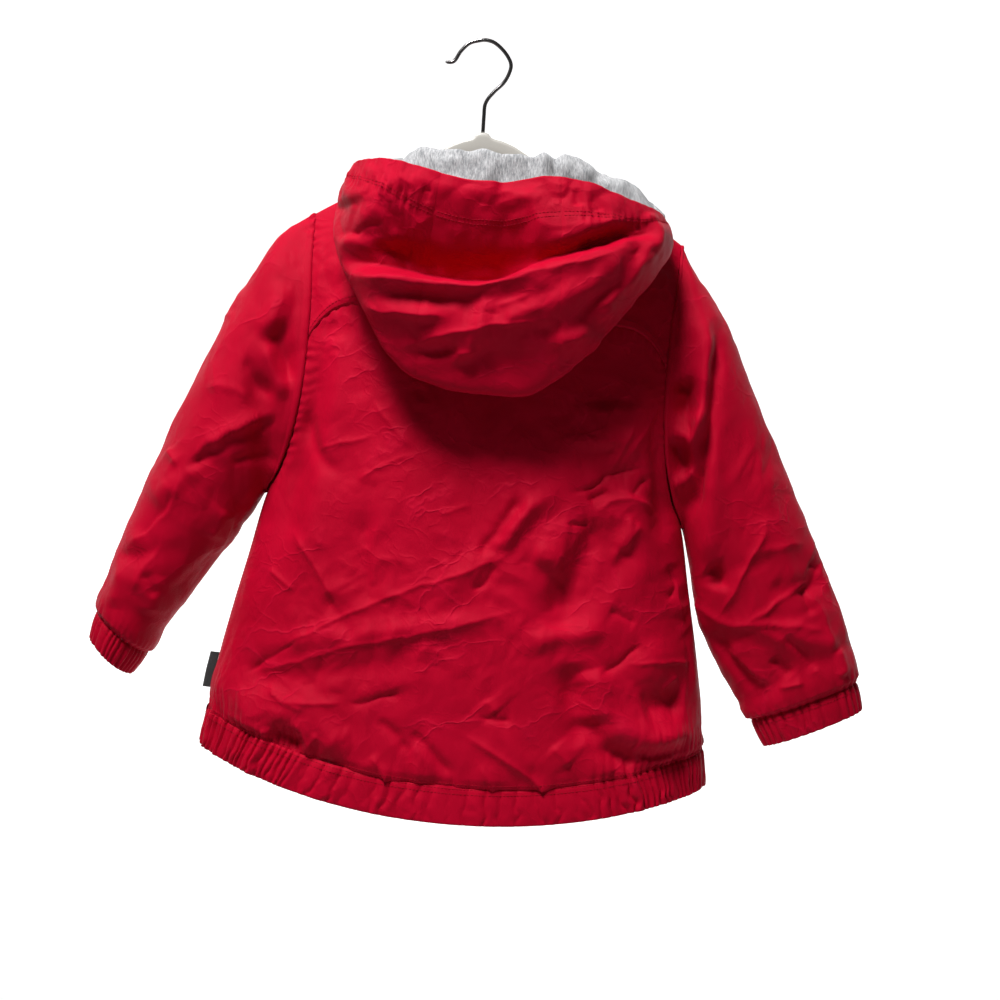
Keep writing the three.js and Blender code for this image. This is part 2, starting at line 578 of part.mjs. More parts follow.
const sleeveRows = [0, 0.05, 0.11, 0.18, 0.26, 0.34, 0.43, 0.52, 0.61, 0.7, 0.79, 0.87, 0.94, 1];

function addSleeve(side, sign) {
  const sections = sleeveSections[side];
  const backTurns = armholeShares.map((share) => Math.acos(1 - 2 * share));
  const turns = [...backTurns, ...backTurns.slice(1, -1).reverse().map((turn) => 2 * Math.PI - turn)];
  place(jacket, `sleeve_${side}`, clothWall({
    skin: (u, v) => sleeveSkin(sign, sections, (u + 2 * Math.PI) % (2 * Math.PI), v),
    us: turns,
    vs: sleeveRows,
    range: { u: [-1, 7], v: [0, 1] },
    flip: sign > 0,
    folds: (base, u, v) => foldHeight(sleeveFolds, base.x, -base.z)
      * THREE.MathUtils.smoothstep(Math.min(v, 1 - v), 0, foldFree.sleeveShare),
    around: true,
  }), colours.shell);
  const skin = (u, v) => cuffSkin(sign, sections, cuffMouths[side], u, v);
  const cuffTurns = spaced(2 * cuffGathers.count, 0, 2 * Math.PI).slice(0, -1);
  place(jacket, `cuff_${side}`, clothWall({
    skin,
    us: cuffTurns,
    vs: [0, 0.5, 1],
    range: { u: [-1, 7], v: [0, 1] },
    flip: sign > 0,
    relief: gatherRelief(cuffTurns, () => cuffGathers.height),
    around: true,
  }), colours.shellDark);
}

function addHemBand() {
  const gathersAt = (base) => (Math.abs(base.x) > hemGathers.sideFrom ? hemGathers.side : hemGathers.middle);
  const columns = gatherColumns(bandSkin, 0, 4, (base) => gathersAt(base).wave);
  const heightAt = (u) => gathersAt(bandSkin(u, 0.5)).height;
  place(jacket, 'hem_band', clothWall({
    skin: bandSkin,
    us: columns,
    vs: [0, 0.5, 1],
    range: { u: [0, 4], v: [0, 1] },
    flip: true,
    relief: gatherRelief(columns, heightAt),
  }), colours.shellDark);
}

const hoodRows = [0, 0.08, 0.14, 0.2, 0.28, 0.37, 0.43, 0.47, 0.51, 0.56, 0.61, 0.66, 0.71, 0.75, 0.79,
  0.83, 0.87, 0.91, 0.95, 1];
const liningEnd = 0.91;

function addHood() {
  const range = { u: [-1, 1], v: [0, 1] };
  const seam = 0.0015;
  const widest = neckMarks.back.length - 1;
  const backMarks = [...neckMarks.back.slice(0, widest), hoodTurnMark, neckMarks.back[widest]];
  const backAt = backMarks.map((mark) => hoodAt(mark, true));
  const frontAt = [hoodTurnMark, ...neckMarks.front.slice(1)].map((mark) => hoodAt(mark, false));
  const split = hoodAt(hood.panelMark, true);
  const sidePanel = [split + seam, ...[...backAt, ...frontAt].filter((at) => at > split + seam)];
  const middle = bothSides(backAt.filter((at) => at < split - seam));
  const gatherAt = (u) => Math.abs(u) > hoodGathers.from && Math.abs(u) < hoodGathers.to;
  const panel = (name, us) => place(jacket, name, clothWall({
    skin: hoodSkin,
    us,
    vs: hoodRows,
    range,
    thickness: shell,
    offset: shell,
    folds: hoodBend,
    relief: (u, v) => {
      const raised = gatherAt(u) && v > hoodGathers.row && us.indexOf(u) % 2 === 1;
      return raised ? hoodGathers.height : 0;
    },
  }), colours.shell);
  panel('hood_left', sidePanel.map((u) => -u).reverse());
  panel('hood_centre', [-split, ...middle, split]);
  panel('hood_right', sidePanel);
  place(jacket, 'hood_lining', clothWall({
    skin: hoodSkin,
    us: bothSides([...backAt, ...frontAt]),
    vs: hoodRows.filter((v) => v <= liningEnd),
    range,
    thickness: jersey,
    offset: -2 * gap,
    folds: hoodBend,
  }), colours.jersey, 0.95);
}

/** Front skin at the zip, for what lies on or behind it. */
const zipFace = (down) => {
  const top = -topEdge('front', zip.halfOpening).z;
  const bottom = hemTopDown('front', zip.halfOpening);
  const skin = frontSkin(1, 0, Math.min(1, (down - top) / (bottom - top)));
  return skin.y + Math.max(0, (down - bottom) / hem.band) * hem.flare * 0.6;
};

function addZip() {
  const bottom = hemTopDown('front', 0) + hem.band;
  const top = -topEdge('front', zip.halfOpening).z;
  const seam = hemTopDown('front', zip.halfOpening);
  const rows = [zip.topDown, ...frontRows.slice(3).map((v) => mix(top, seam, v)), bottom];
  const strip = (name, from, to, behind, thickness) => {
    const outer = rows.map((down) => [from, to].map((x) => point(x, zipFace(down) - behind, -down)));
    const inner = rows.map((down) => [from, to].map((x) => point(x, zipFace(down) - behind - thickness, -down)));
    place(jacket, name, closeWall(outer, inner, false), colours.zip, 0.7);
  };
  const tapeDepth = shell + 2 * gap;
  strip('zip_tape_left', -zip.tape, -gap / 2, tapeDepth, zip.tapeThickness);
  strip('zip_tape_right', gap / 2, zip.tape, tapeDepth, zip.tapeThickness);
  strip('zip_chain', -zip.chain / 2, zip.chain / 2, tapeDepth - gap - zip.chainHeight, zip.chainHeight);
}

/** Closed solid of a geometry, ready to be joined. */
function solid(geometry) {
  const shape = geometry.index ? geometry.toNonIndexed() : geometry;
  const positions = shape.getAttribute('position');
  const corners = new Map();
  const vertProperties = [];
  const triVerts = [];
  for (let i = 0; i < positions.count; i += 1) {
    const values = [positions.getX(i), positions.getY(i), positions.getZ(i)];
    const key = values.map((value) => value.toFixed(4)).join(',');
    if (!corners.has(key)) {
      corners.set(key, vertProperties.length / 3);
      vertProperties.push(...values);
    }
    triVerts.push(corners.get(key));
  }
  return new wasm.Manifold(new wasm.Mesh({
    numProp: 3,
    vertProperties: new Float32Array(vertProperties),
    triVerts: new Uint32Array(triVerts),
  }));
}

function fromSolid(shape) {
  const mesh = shape.getMesh();
  return facingOut(Array.from(mesh.vertProperties), Array.from(mesh.triVerts));
}

/** A box between two corners. */
function block(from, to) {
  const size = to.clone().sub(from);
  const geometry = new THREE.BoxGeometry(size.x, size.y, size.z);
  geometry.translate(...from.clone().add(to).multiplyScalar(0.5).toArray());
  return geometry;
}

function addSlider() {
  const face = zipFace(slider.down + slider.length / 2) - shell + zip.chainHeight + gap;
  const top = -slider.down + slider.length / 2;
  const bottom = -slider.down - slider.length / 2;
  const half = slider.width / 2;
  const plate = solid(block(point(-half, face, bottom), point(half, face + slider.plate, top)));
  const archOutline = new THREE.Shape();
  const archTop = face + slider.plate + arch.height;
  archOutline.moveTo(face + 1, top - 1.2);
  archOutline.lineTo(archTop - 1, top - 2);
  archOutline.lineTo(archTop, top - 4);
  archOutline.lineTo(archTop, bottom + 4);
  archOutline.lineTo(archTop - 1, bottom + 2);
  archOutline.lineTo(face + 1, bottom + 1.2);
  const inside = new THREE.Path();
  inside.moveTo(face + slider.plate, top - 3.2);
  inside.lineTo(face + slider.plate, bottom + 3.2);
  inside.lineTo(archTop - arch.wall, bottom + 3.8);
  inside.lineTo(archTop - arch.wall, top - 3.8);
  archOutline.holes.push(inside);
  const archSlab = new THREE.ExtrudeGeometry(archOutline, { depth: arch.width, bevelEnabled: false });
  // The outline's x is the jacket's y and its y is the jacket's z, so the depth runs along x
  archSlab.applyMatrix4(new THREE.Matrix4().makeBasis(point(0, 1, 0), point(0, 0, 1), point(1, 0, 0)));
  archSlab.translate(-arch.width / 2, 0, 0);
  place(jacket, 'zip_slider', fromSolid(plate.add(solid(archSlab))), colours.zip, 0.45, 0.4);

  const barCentre = point(0, face + slider.plate + (arch.height - arch.wall) / 2, -slider.down);
  const tab = new THREE.Shape();
  const halfPull = pull.width / 2;
  tab.moveTo(-halfPull, pull.bar / 2);
  tab.lineTo(halfPull, pull.bar / 2);
  tab.lineTo(halfPull, -pull.length + halfPull);
  tab.absarc(0, -pull.length + halfPull, halfPull, 0, -Math.PI, true);
  const windowHole = new THREE.Path();
  const halfWindow = pull.window / 2;
  windowHole.moveTo(-halfWindow, -pull.bar / 2);
  windowHole.lineTo(-halfWindow, -slider.length / 2 - pull.windowPast);
  windowHole.lineTo(halfWindow, -slider.length / 2 - pull.windowPast);
  windowHole.lineTo(halfWindow, -pull.bar / 2);
  tab.holes.push(windowHole);
  const tabPlate = new THREE.ExtrudeGeometry(tab, { depth: pull.bar, bevelEnabled: false, curveSegments: 8 });
  // The tab lies in the plane of x and z, and its thickness runs along y
  tabPlate.applyMatrix4(new THREE.Matrix4().makeBasis(point(1, 0, 0), point(0, 0, 1), point(0, -1, 0)));
  tabPlate.translate(0, pull.bar / 2, 0);
  const mesh = place(jacket, 'zip_pull', tabPlate, colours.zip, 0.45, 0.4);
  mesh.position.copy(barCentre);
}

function addLabel() {
  const rows = spaced(3, label.down, label.down + label.length);
  const edge = (down) => -column(bodySections, 'halfWidth', down) - gap;
  const side = (y) => rows.map((down) => [0, -label.reach].map((out) => point(edge(down) + out, y, -down)));
  place(jacket, 'side_label', closeWall(side(-label.thickness / 2), side(label.thickness / 2), false),
    colours.black, 0.8);
}

// Hanger

const hangerArm = [
  { across: 6, down: 76 },
  { across: 11, down: 78.6 },
  { across: 23, down: 82.4 },
  { across: 34, down: 87.6 },
  { across: 60, down: 109.5 },
  { across: 100, down: 131 },
  { across: 122, down: 142.2 },
];

const hookRoute = [
  { x: -30.4, down: 16.7 },
  { x: -23.9, down: 16.3 },
  { x: -18.2, down: 8.4 },
  { x: -11.4, down: 2.3 },
  { x: -5.3, down: 0.6 },
  { x: 0, down: 0 },
  { x: 6.1, down: 1.5 },
  { x: 12.2, down: 6.1 },
  { x: 17.5, down: 12.9 },
  { x: 19.8, down: 19 },
  { x: 18.2, down: 25.8 },
  { x: 14.1, down: 32.7 },
  { x: 7.6, down: 38.8 },
  { x: 2.3, down: 44.8 },
  { x: 0, down: 49.4 },
  { x: -0.8, down: 57.8 },
  { x: -1.6, down: hook.end },
];

function addHanger(group) {
  const outline = new THREE.Shape();
  const half = hanger.bossWidth / 2;
  const tip = hangerArm[hangerArm.length - 1];
  const pivotX = hookRoute[hookRoute.length - 1].x;
  outline.moveTo(pivotX - half + 2, -hanger.bossTop);
  outline.lineTo(pivotX + half - 2, -hanger.bossTop);
  hangerArm.forEach((row) => outline.lineTo(pivotX + row.across, -row.down));
  outline.absarc(pivotX + tip.across, -tip.down - hanger.tipDepth / 2, hanger.tipDepth / 2, Math.PI / 2,
    -Math.PI / 2, true);
  hangerArm.slice(1, -1).reverse().forEach((row) => {
    outline.lineTo(pivotX + row.across, -row.down - hanger.armDepth);
  });
  hangerArm.slice(1, -1).forEach((row) => outline.lineTo(pivotX - row.across, -row.down - hanger.armDepth));
  outline.absarc(pivotX - tip.across, -tip.down - hanger.tipDepth / 2, hanger.tipDepth / 2, -Math.PI / 2,
    -1.5 * Math.PI, true);
  [...hangerArm].reverse().forEach((row) => outline.lineTo(pivotX - row.across, -row.down));
  const body = new THREE.ExtrudeGeometry(outline, {
    depth: hanger.thickness - 2 * hanger.edge,
    bevelThickness: hanger.edge,
    bevelSize: hanger.edge * 0.6,
    bevelOffset: -hanger.edge * 0.6,
    bevelSegments: 2,
    curveSegments: 5,
  });
  body.translate(0, 0, -hanger.thickness / 2 + hanger.edge);
  body.rotateX(Math.PI / 2);
  body.translate(-pivotX, 0, hanger.bossTop);
  const bodyMesh = place(group, 'hanger_body', body, colours.hanger, 0.5);
  bodyMesh.position.set(pivotX, 0, -hanger.bossTop);
  bodyMesh.rotation.y = THREE.MathUtils.degToRad(hangerTilt);

  const circle = new THREE.Shape();
  for (let i = 0; i < hook.sides; i += 1) {
    const turn = (2 * Math.PI * i) / hook.sides;
    const corner = [(hook.wire / 2) * Math.cos(turn), (hook.wire / 2) * Math.sin(turn)];
    if (i === 0) circle.moveTo(...corner);
    else circle.lineTo(...corner);
  }
  const route = new THREE.CatmullRomCurve3(hookRoute.map((p) => point(p.x, 0, -p.down)));
  const wire = new THREE.ExtrudeGeometry(circle, { steps: hook.steps, extrudePath: route, bevelEnabled: false });
  place(group, 'hanger_hook', wire, colours.steel, 0.3, 1);
}

addBack();
addFront('front_left', -1);
addFront('front_right', 1);
addSleeve('left', -1);
addSleeve('right', 1);
addHemBand();
addHood();
addZip();
addSlider();
addLabel();
jacket.position.x = jacketShift;

const tilted = new THREE.Group();
tilted.rotation.y = THREE.MathUtils.degToRad(jacketTilt);
tilted.add(jacket);

// Heights are measured from the wire's middle at the crown, and the origin is under the wire
const model = new THREE.Group();
const hung = new THREE.Group();
addHanger(hung);
hung.add(tilted);
hung.position.z = hook.wire / 2;
model.add(hung);
model.updateMatrixWorld(true);

export default model;
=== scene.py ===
"""A child's hooded rain jacket on a hanger: the looks of cloth, zip, label, hanger and hook."""
import logging
import math
from dataclasses import dataclass, replace
from enum import Enum
from itertools import product

import bpy
import numpy as np
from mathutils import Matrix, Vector


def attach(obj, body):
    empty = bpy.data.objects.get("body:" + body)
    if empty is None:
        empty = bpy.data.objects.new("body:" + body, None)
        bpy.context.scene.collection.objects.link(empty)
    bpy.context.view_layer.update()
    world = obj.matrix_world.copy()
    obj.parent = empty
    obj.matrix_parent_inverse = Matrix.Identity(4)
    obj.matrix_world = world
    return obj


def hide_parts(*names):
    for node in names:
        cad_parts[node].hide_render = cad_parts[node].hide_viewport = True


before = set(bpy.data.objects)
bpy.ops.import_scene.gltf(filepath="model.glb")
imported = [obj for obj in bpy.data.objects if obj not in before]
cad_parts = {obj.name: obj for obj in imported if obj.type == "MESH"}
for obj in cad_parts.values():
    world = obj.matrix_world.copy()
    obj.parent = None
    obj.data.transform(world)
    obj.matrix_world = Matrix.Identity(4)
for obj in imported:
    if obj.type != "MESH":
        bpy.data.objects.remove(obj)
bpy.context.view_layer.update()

log = logging.getLogger("jacket")
Array = np.ndarray
Colour = tuple[float, float, float]
MM = 0.001
TINY = 1e-9  # the least length that a direction is worked out from
BODY_NAME = "jacket"  # the body that every piece rides on


class Side(Enum):
    """A side of the jacket, with the sign of its x."""

    LEFT = -1
    RIGHT = 1


class Edge(Enum):
    """The edges of a sheet: whether it runs down the cloth, and whether it is the last."""

    TOP = (False, False)
    BOTTOM = (False, True)
    START = (True, False)
    END = (True, True)

    @property
    def across(self) -> bool:
        """Whether the edge is met by going across the cloth."""
        return self.value[0]

    @property
    def last(self) -> bool:
        """Whether it comes last."""
        return self.value[1]


class Panel(Enum):
    """The two halves of the body."""

    BACK = "back"
    FRONT = "front"


# ---- numbers, rows and curves


def mix(low: Array | float, high: Array | float, share: Array | float) -> Array | float:
    """Goes from low to high as share goes from 0 to 1."""
    return low + (high - low) * share


def smooth(value: Array | float, low: float, high: float) -> Array | float:
    """Eases from 0 at low to 1 at high."""
    t = np.clip((value - low) / (high - low), 0.0, 1.0)
    return t * t * (3 - 2 * t)


def plateau(value: Array | float, rise: tuple[float, float], fall: tuple[float, float]) -> Array | float:
    """Eases from 0 to 1 where value passes the rise, and back to 0 where it passes the fall."""
    return smooth(value, *rise) * (1 - smooth(value, *fall))


def spaced(count: int, low: float = 0.0, high: float = 1.0) -> Array:
    """Evenly spaced values, both ends among them."""
    return np.linspace(low, high, count + 1)


def joined(x: Array | float, y: Array | float, z: Array | float) -> Array:
    """Points from their three coordinates, each spread over the shape of all."""
    return np.stack(np.broadcast_arrays(x, y, z), -1)


def unit(vectors: Array) -> Array:
    """The same directions with a length of 1."""
    return vectors / np.maximum(np.linalg.norm(vectors, axis=-1, keepdims=True), TINY)


def runs(points: Array) -> Array:
    """Length of the way along a line of points."""
    steps = np.linalg.norm(np.diff(points, axis=0), axis=-1)
    return np.concatenate([[0], np.cumsum(steps)])


def turned_under(outer: Array, inner: Array, depth: float, reel: float = math.inf,
                 steps: int = 6) -> tuple[Array, Array]:
    """Rows of a cloth that rolls over its edge and comes back underneath.

    Args:
        outer: places of the rows outside, up to 1 at the edge.
        inner: places of the rows underneath, from 1.
        depth: radius of the roll.
        reel: length that a place of 1 stands for, by which the roll stands out beyond the edge.
        steps: steps of the roll.

    Returns:
        The places of all rows, and how far each lies under the outer ones.
    """
    roll = spaced(steps, 0, math.pi)[1:-1]
    places = np.concatenate([outer, 1 + depth / reel * np.sin(roll), inner])
    return places, np.concatenate([0 * outer, depth * (1 - np.cos(roll)), 0 * inner + 2 * depth])


def tube_faces(rows: int, columns: int) -> list[list[int]]:
    """The faces of a tube of rings, with both ends capped."""
    faces = [[r * columns + k, r * columns + (k + 1) % columns, (r + 1) * columns + (k + 1) % columns,
              (r + 1) * columns + k] for r in range(rows - 1) for k in range(columns)]
    last = (rows - 1) * columns
    return faces + [list(range(columns))[::-1], [last + k for k in range(columns)]]


def hermite(keys: Array, values: Array, at: Array) -> Array:
    """Reads rows of values as a smooth curve.

    Args:
        keys: where each row stands, rising.
        values: one value or array for each key.
        at: the places to read.

    Returns:
        The values at those places, with the shape of at first.
    """
    at = np.clip(at, keys[0], keys[-1])
    row = np.clip(np.searchsorted(keys, at, side="left") - 1, 0, len(keys) - 2)
    before = np.maximum(np.arange(len(keys)) - 1, 0)
    after = np.minimum(np.arange(len(keys)) + 1, len(keys) - 1)
    spread = values.shape[1:]
    run = (keys[after] - keys[before]).reshape((-1,) + (1,) * len(spread))
    slopes = (values[after] - values[before]) / run
    span = (keys[row + 1] - keys[row]).reshape(at.shape + (1,) * len(spread))
    t = (at - keys[row]).reshape(span.shape) / span
    ends = values[row] * (1 + 2 * t) * (1 - t) ** 2 + values[row + 1] * t * t * (3 - 2 * t)
    return ends + span * t * (1 - t) * (slopes[row] * (1 - t) - slopes[row + 1] * t)


def through(points: Array, at: Array) -> Array:
    """Follows a centripetal curve through points.

    Args:
        points: knots along the first axis, coordinates last.
        at: places from 0 at the first knot to 1 at the last.

    Returns:
        The curve's points, with the places along the first axis.
    """
    count = len(points)
    first = 2 * points[:1] - points[1:2]
    last = 2 * points[-1:] - points[-2:-1]
    padded = np.concatenate([first, points, last])
    place = np.clip(at, 0, 1) * (count - 1)
    knot = np.minimum(place.astype(int), count - 2)
    weight = (place - knot).reshape((-1,) + (1,) * (points.ndim - 1))
    p0, p1, p2, p3 = (padded[knot + k] for k in range(4))
    lengths = [np.maximum(np.sum((b - a) ** 2, -1, keepdims=True) ** 0.25, 1e-4)
               for a, b in ((p0, p1), (p1, p2), (p2, p3))]
    t0, t1, t2 = lengths
    leave = ((p1 - p0) / t0 - (p2 - p0) / (t0 + t1) + (p2 - p1) / t1) * t1
    arrive = ((p2 - p1) / t1 - (p3 - p1) / (t1 + t2) + (p3 - p2) / t2) * t1
    square, cube = weight ** 2, weight ** 3
    return (p1 + leave * weight + (-3 * p1 + 3 * p2 - 2 * leave - arrive) * square
            + (2 * p1 - 2 * p2 + leave + arrive) * cube)


@dataclass(frozen=True)
class Table:
    """Rows of named columns that are read as smooth curves."""

    names: tuple[str, ...]
    rows: tuple[tuple[float, ...], ...]

    def column(self, name: str) -> Array:
        """One column as an array."""
        return np.array([row[self.names.index(name)] for row in self.rows], float)

    def read(self, name: str, at: Array | float) -> Array:
        """Reads a column at places of the first one."""
        return hermite(self.column(self.names[0]), self.column(name), np.asarray(at, float))


class Noise:
    """Smooth noise in space, the same on every run."""

    CELLS = 256
    GAIN = 1.6

    def __init__(self, seed: int) -> None:
        """Draws the gradients.

        Args:
            seed: which noise it is.
        """
        draw = np.random.default_rng(seed)
        self.order = np.tile(draw.permutation(self.CELLS), 3)
        self.gradients = unit(draw.normal(size=(self.CELLS, 3)))

    def __call__(self, points: Array) -> Array:
        """The noise, from about -1 to 1, at points of any shape with 3 coordinates last."""
        cell = np.floor(points).astype(int)
        inside = points - cell
        fade = inside ** 3 * (inside * (inside * 6 - 15) + 10)
        cell &= self.CELLS - 1
        total = np.zeros(points.shape[:-1])
        for corner in product((0, 1), repeat=3):
            x, y, z = (cell[..., k] + corner[k] for k in range(3))
            gradient = self.gradients[self.order[self.order[self.order[x] + y] + z]]
            weight = np.prod(np.where(corner, fade, 1 - fade), axis=-1)
            total += weight * np.sum(gradient * (inside - np.array(corner)), axis=-1)
        return total * self.GAIN


# ---- folds and creases


@dataclass(frozen=True)
class Fold:
    """A soft ridge, or trough where its height is negative, between two places of the cloth.

    It keeps its height for the share level of its length to both sides of its middle, and then fades.
    """

    x1: float
    down1: float
    x2: float
    down2: float
    width: float
    height: float
    level: float = 0.3
    fade: float = 0.14

    def at(self, x: Array, down: Array) -> Array:
        """Its height at places of the cloth."""
        along_x, along_down = self.x2 - self.x1, self.down2 - self.down1
        length = math.hypot(along_x, along_down)
        along = ((x - self.x1) * along_x + (down - self.down1) * along_down) / length ** 2
        across = ((x - self.x1) * along_down - (down - self.down1) * along_x) / length
        past = np.maximum(0, np.abs(along - 0.5) - self.level)
        return self.height * np.exp(-((across / self.width) ** 2) - (past / self.fade) ** 2)


@dataclass(frozen=True)
class Crease:
    """A crease that runs through places of the cloth: crisp when narrow, soft when wide.

    A crisp one falls away steeply from its line, and beyond that gently as two planes that meet.
    """

    width: float
    height: float
    path: tuple[tuple[float, float], ...]
    crisp_under: float = 3.6
    taper: float = 0.24
    steep: float = 1.1
    planes: float = 0.75
    plane_widths: float = 4.5

    def rounded(self) -> Array:
        """The path with its corners cut twice."""
        line = np.array(self.path, float)
        for _ in range(2):
            if len(line) > 2:
                early = mix(line[:-1], line[1:], 0.25)
                late = mix(line[:-1], line[1:], 0.75)
                cut = np.stack([early, late], 1).reshape(-1, 2)
                line = np.concatenate([line[:1], cut[1:-1], line[-1:]])
        return line

    def at(self, x: Array, down: Array) -> Array:
        """Its height at places of the cloth."""
        line = self.rounded()
        steps = np.diff(line, axis=0)
        lengths = np.linalg.norm(steps, axis=1)
        starts = np.concatenate([[0], np.cumsum(lengths)])
        nearest = np.full(x.shape, np.inf)
        run = np.zeros(x.shape)
        for (x1, down1), (step_x, step_down), length, start in zip(line[:-1], steps, lengths, starts):
            share = np.clip(((x - x1) * step_x + (down - down1) * step_down) / length ** 2, 0, 1)
            away = np.hypot(x - x1 - share * step_x, down - down1 - share * step_down)
            closer = away < nearest
            nearest = np.where(closer, away, nearest)
            run = np.where(closer, start + share * length, run)
        place = run / starts[-1]
        ends = smooth(place, -0.04, self.taper) * smooth(1 - place, -0.04, self.taper)
        away = nearest / self.width
        if self.width < self.crisp_under:
            profile = np.exp(-self.steep * away) + self.planes * np.exp(-away / self.plane_widths)
        else:
            profile = np.exp(-(away ** 2))
        return self.height * ends * profile


@dataclass(frozen=True)
class Recess:
    """A hollow that deepens down the cloth and ends in a sharp fold.

    Each row of the table gives a place across the cloth, where the hollow starts and ends down
    it, and how deep it gets.
    """

    rows: tuple[tuple[float, float, float, float], ...]
    rise: float = 10.0

    def at(self, x: Array, down: Array) -> Array:
        """Its height, which is negative, at places of the cloth."""
        table = np.array(self.rows)
        start, end, depth = (hermite(table[:, 0], table[:, k], np.clip(x, table[0, 0], table[-1, 0]))
                             for k in (1, 2, 3))
        grown = np.clip((down - start) / np.maximum(end - start, 1), 0, 1)
        return -depth * grown ** 1.15 * (1 - smooth(down - end, 0, self.rise))


def folds(*rows: tuple[float, ...]) -> tuple[Fold, ...]:
    """Folds from rows of numbers in the order of a Fold's fields."""
    return tuple(Fold(*row) for row in rows)


def creases(*rows: tuple[float, ...]) -> tuple[Crease, ...]:
    """Creases from rows of width, height, and the x and down of each place along them."""
    return tuple(Crease(*row[:2], tuple(zip(row[2::2], row[3::2]))) for row in rows)


def height_of(bends: tuple[Fold | Crease | Recess, ...], x: Array, down: Array) -> Array:
    """The height that several folds, creases or hollows give together."""
    return sum((bend.at(x, down) for bend in bends), np.zeros(x.shape))


@dataclass(frozen=True)
class Crinkle:
    """The small facets of crushed nylon, which meet in crisp lines.

    Rows of sizes give a facet's size and height, and upright is how much longer it is down the cloth. Noises
    bend the lines, turn ridges into troughs from patch to patch, and leave whole fields of the cloth calmer.
    """

    sizes: tuple[tuple[float, float], ...] = ((40, 5.0), (21, 2.9), (10, 1.3))
    upright: float = 1.3
    bend: float = 9
    bend_size: float = 45
    bends_apart: float = 17.3
    patch: float = 52
    field: float = 70
    noise: Noise = Noise(11)
    other: Noise = Noise(23)

    def height(self, points: Array) -> Array:
        """The height of the crinkles at points in millimetres."""
        bends = [self.noise(points / self.bend_size + k * self.bends_apart) for k in range(3)]
        moved = points + np.stack(bends, -1) * self.bend
        total = np.zeros(points.shape[:-1])
        for size, height in self.sizes:
            place = moved / np.array([size, size, size * self.upright])
            lines = self.other(place + size)
            facets = 0.2 - np.sqrt(lines ** 2 + 0.0004)
            pick = np.tanh(5 * self.noise(points / self.patch + size))
            total += height * facets * pick
        busy = 0.4 + 0.6 * smooth(self.noise(points / self.field + 5), -0.3, 0.4)
        return total * busy


# ---- cloth as grids of points


@dataclass(frozen=True)
class JacketFrame:
    """Where the upright jacket hangs: its tilt on the hanger and its place beside the hook."""

    tilt: float = math.radians(5)
    shift: float = 23.0
    crown: float = 1.5

    def world(self, points: Array) -> Array:
        """Turns the jacket's millimetres into the frame's metres."""
        x, z = points[..., 0] + self.shift, points[..., 2]
        cos, sin = math.cos(self.tilt), math.sin(self.tilt)
        return np.stack([x * cos + z * sin, points[..., 1], -x * sin + z * cos + self.crown], -1) * MM


@dataclass(frozen=True)
class ClothGrid:
    """A sheet of cloth as rows and columns of points in millimetres."""

    points: Array
    outward: int
    ring: bool = False

    def normals(self) -> Array:
        """The outward direction at each point."""
        if self.ring:
            along = np.roll(self.points, -1, 1) - np.roll(self.points, 1, 1)
        else:
            along = np.gradient(self.points, axis=1)
        return unit(np.cross(along, np.gradient(self.points, axis=0)) * self.outward)

    def moved(self, height: Array, normals: Array | None = None) -> "ClothGrid":
        """The same sheet with its points moved along the given normals, or else its own."""
        normals = self.normals() if normals is None else normals
        return replace(self, points=self.points + normals * height[..., None])

    def tucked(self, edge: Edge, reach: float, sink: float) -> "ClothGrid":
        """The same sheet with one more row or column, tucked under what lies beside its edge.

        Args:
            edge: the edge that gets it.
            reach: how far beyond the edge it lies.
            sink: how far under the cloth it lies.

        Returns:
            The longer sheet.
        """
        points, normals = ((values.swapaxes(0, 1) if edge.across else values)[::-1 if edge.last else 1]
                           for values in (self.points, self.normals()))
        added = points[0] + unit(points[0] - points[2]) * reach - normals[0] * sink
        points = np.concatenate([added[None], points])[::-1 if edge.last else 1]
        return replace(self, points=points.swapaxes(0, 1) if edge.across else points)

    def flat(self) -> Array:
        """Where each point lay on the flat cloth, in metres from the middle column."""
        across = np.linalg.norm(np.diff(self.points, axis=1), axis=-1)
        down = np.linalg.norm(np.diff(self.points, axis=0), axis=-1)
        u = np.pad(np.cumsum(across, 1), ((0, 0), (1, 0)))
        v = np.pad(np.cumsum(down, 0), ((1, 0), (0, 0)))
        middle = u[:, u.shape[1] // 2][:, None]
        return np.stack([u - middle, v], -1) * MM

    def area(self) -> float:
        """The area of the sheet in square metres."""
        points = self.points
        if self.ring:
            points = np.concatenate([points, points[:, :1]], 1)
        along = points[:, 1:] - points[:, :-1]
        down = points[1:] - points[:-1]
        parts = np.linalg.norm(np.cross(along[:-1], down[:, :-1]), axis=-1)
        return float(parts.sum()) * MM * MM

    def line(self, share: float, axis: int = 0) -> tuple[Array, Array]:
        """Reads a line of the sheet.

        Args:
            share: which line, from 0 at the first to 1 at the last.
            axis: 0 for a row, 1 for a column.

        Returns:
            Its points and normals.
        """
        points, normals = (values.swapaxes(0, axis) for values in (self.points, self.normals()))
        at = share * (len(points) - 1)
        low = min(int(at), len(points) - 2)
        return mix(points[low], points[low + 1], at - low), mix(normals[low], normals[low + 1], at - low)

    def faces(self) -> Array:
        """The quads between the points, facing outward."""
        rows, columns = self.points.shape[:2]
        numbers = np.arange(rows * columns).reshape(rows, columns)
        if self.ring:
            numbers = np.concatenate([numbers, numbers[:, :1]], 1)
        quads = np.stack([numbers[:-1, :-1], numbers[:-1, 1:], numbers[1:, 1:], numbers[1:, :-1]], -1)
        quads = quads.reshape(-1, 4)
        return quads if self.outward > 0 else quads[:, ::-1]


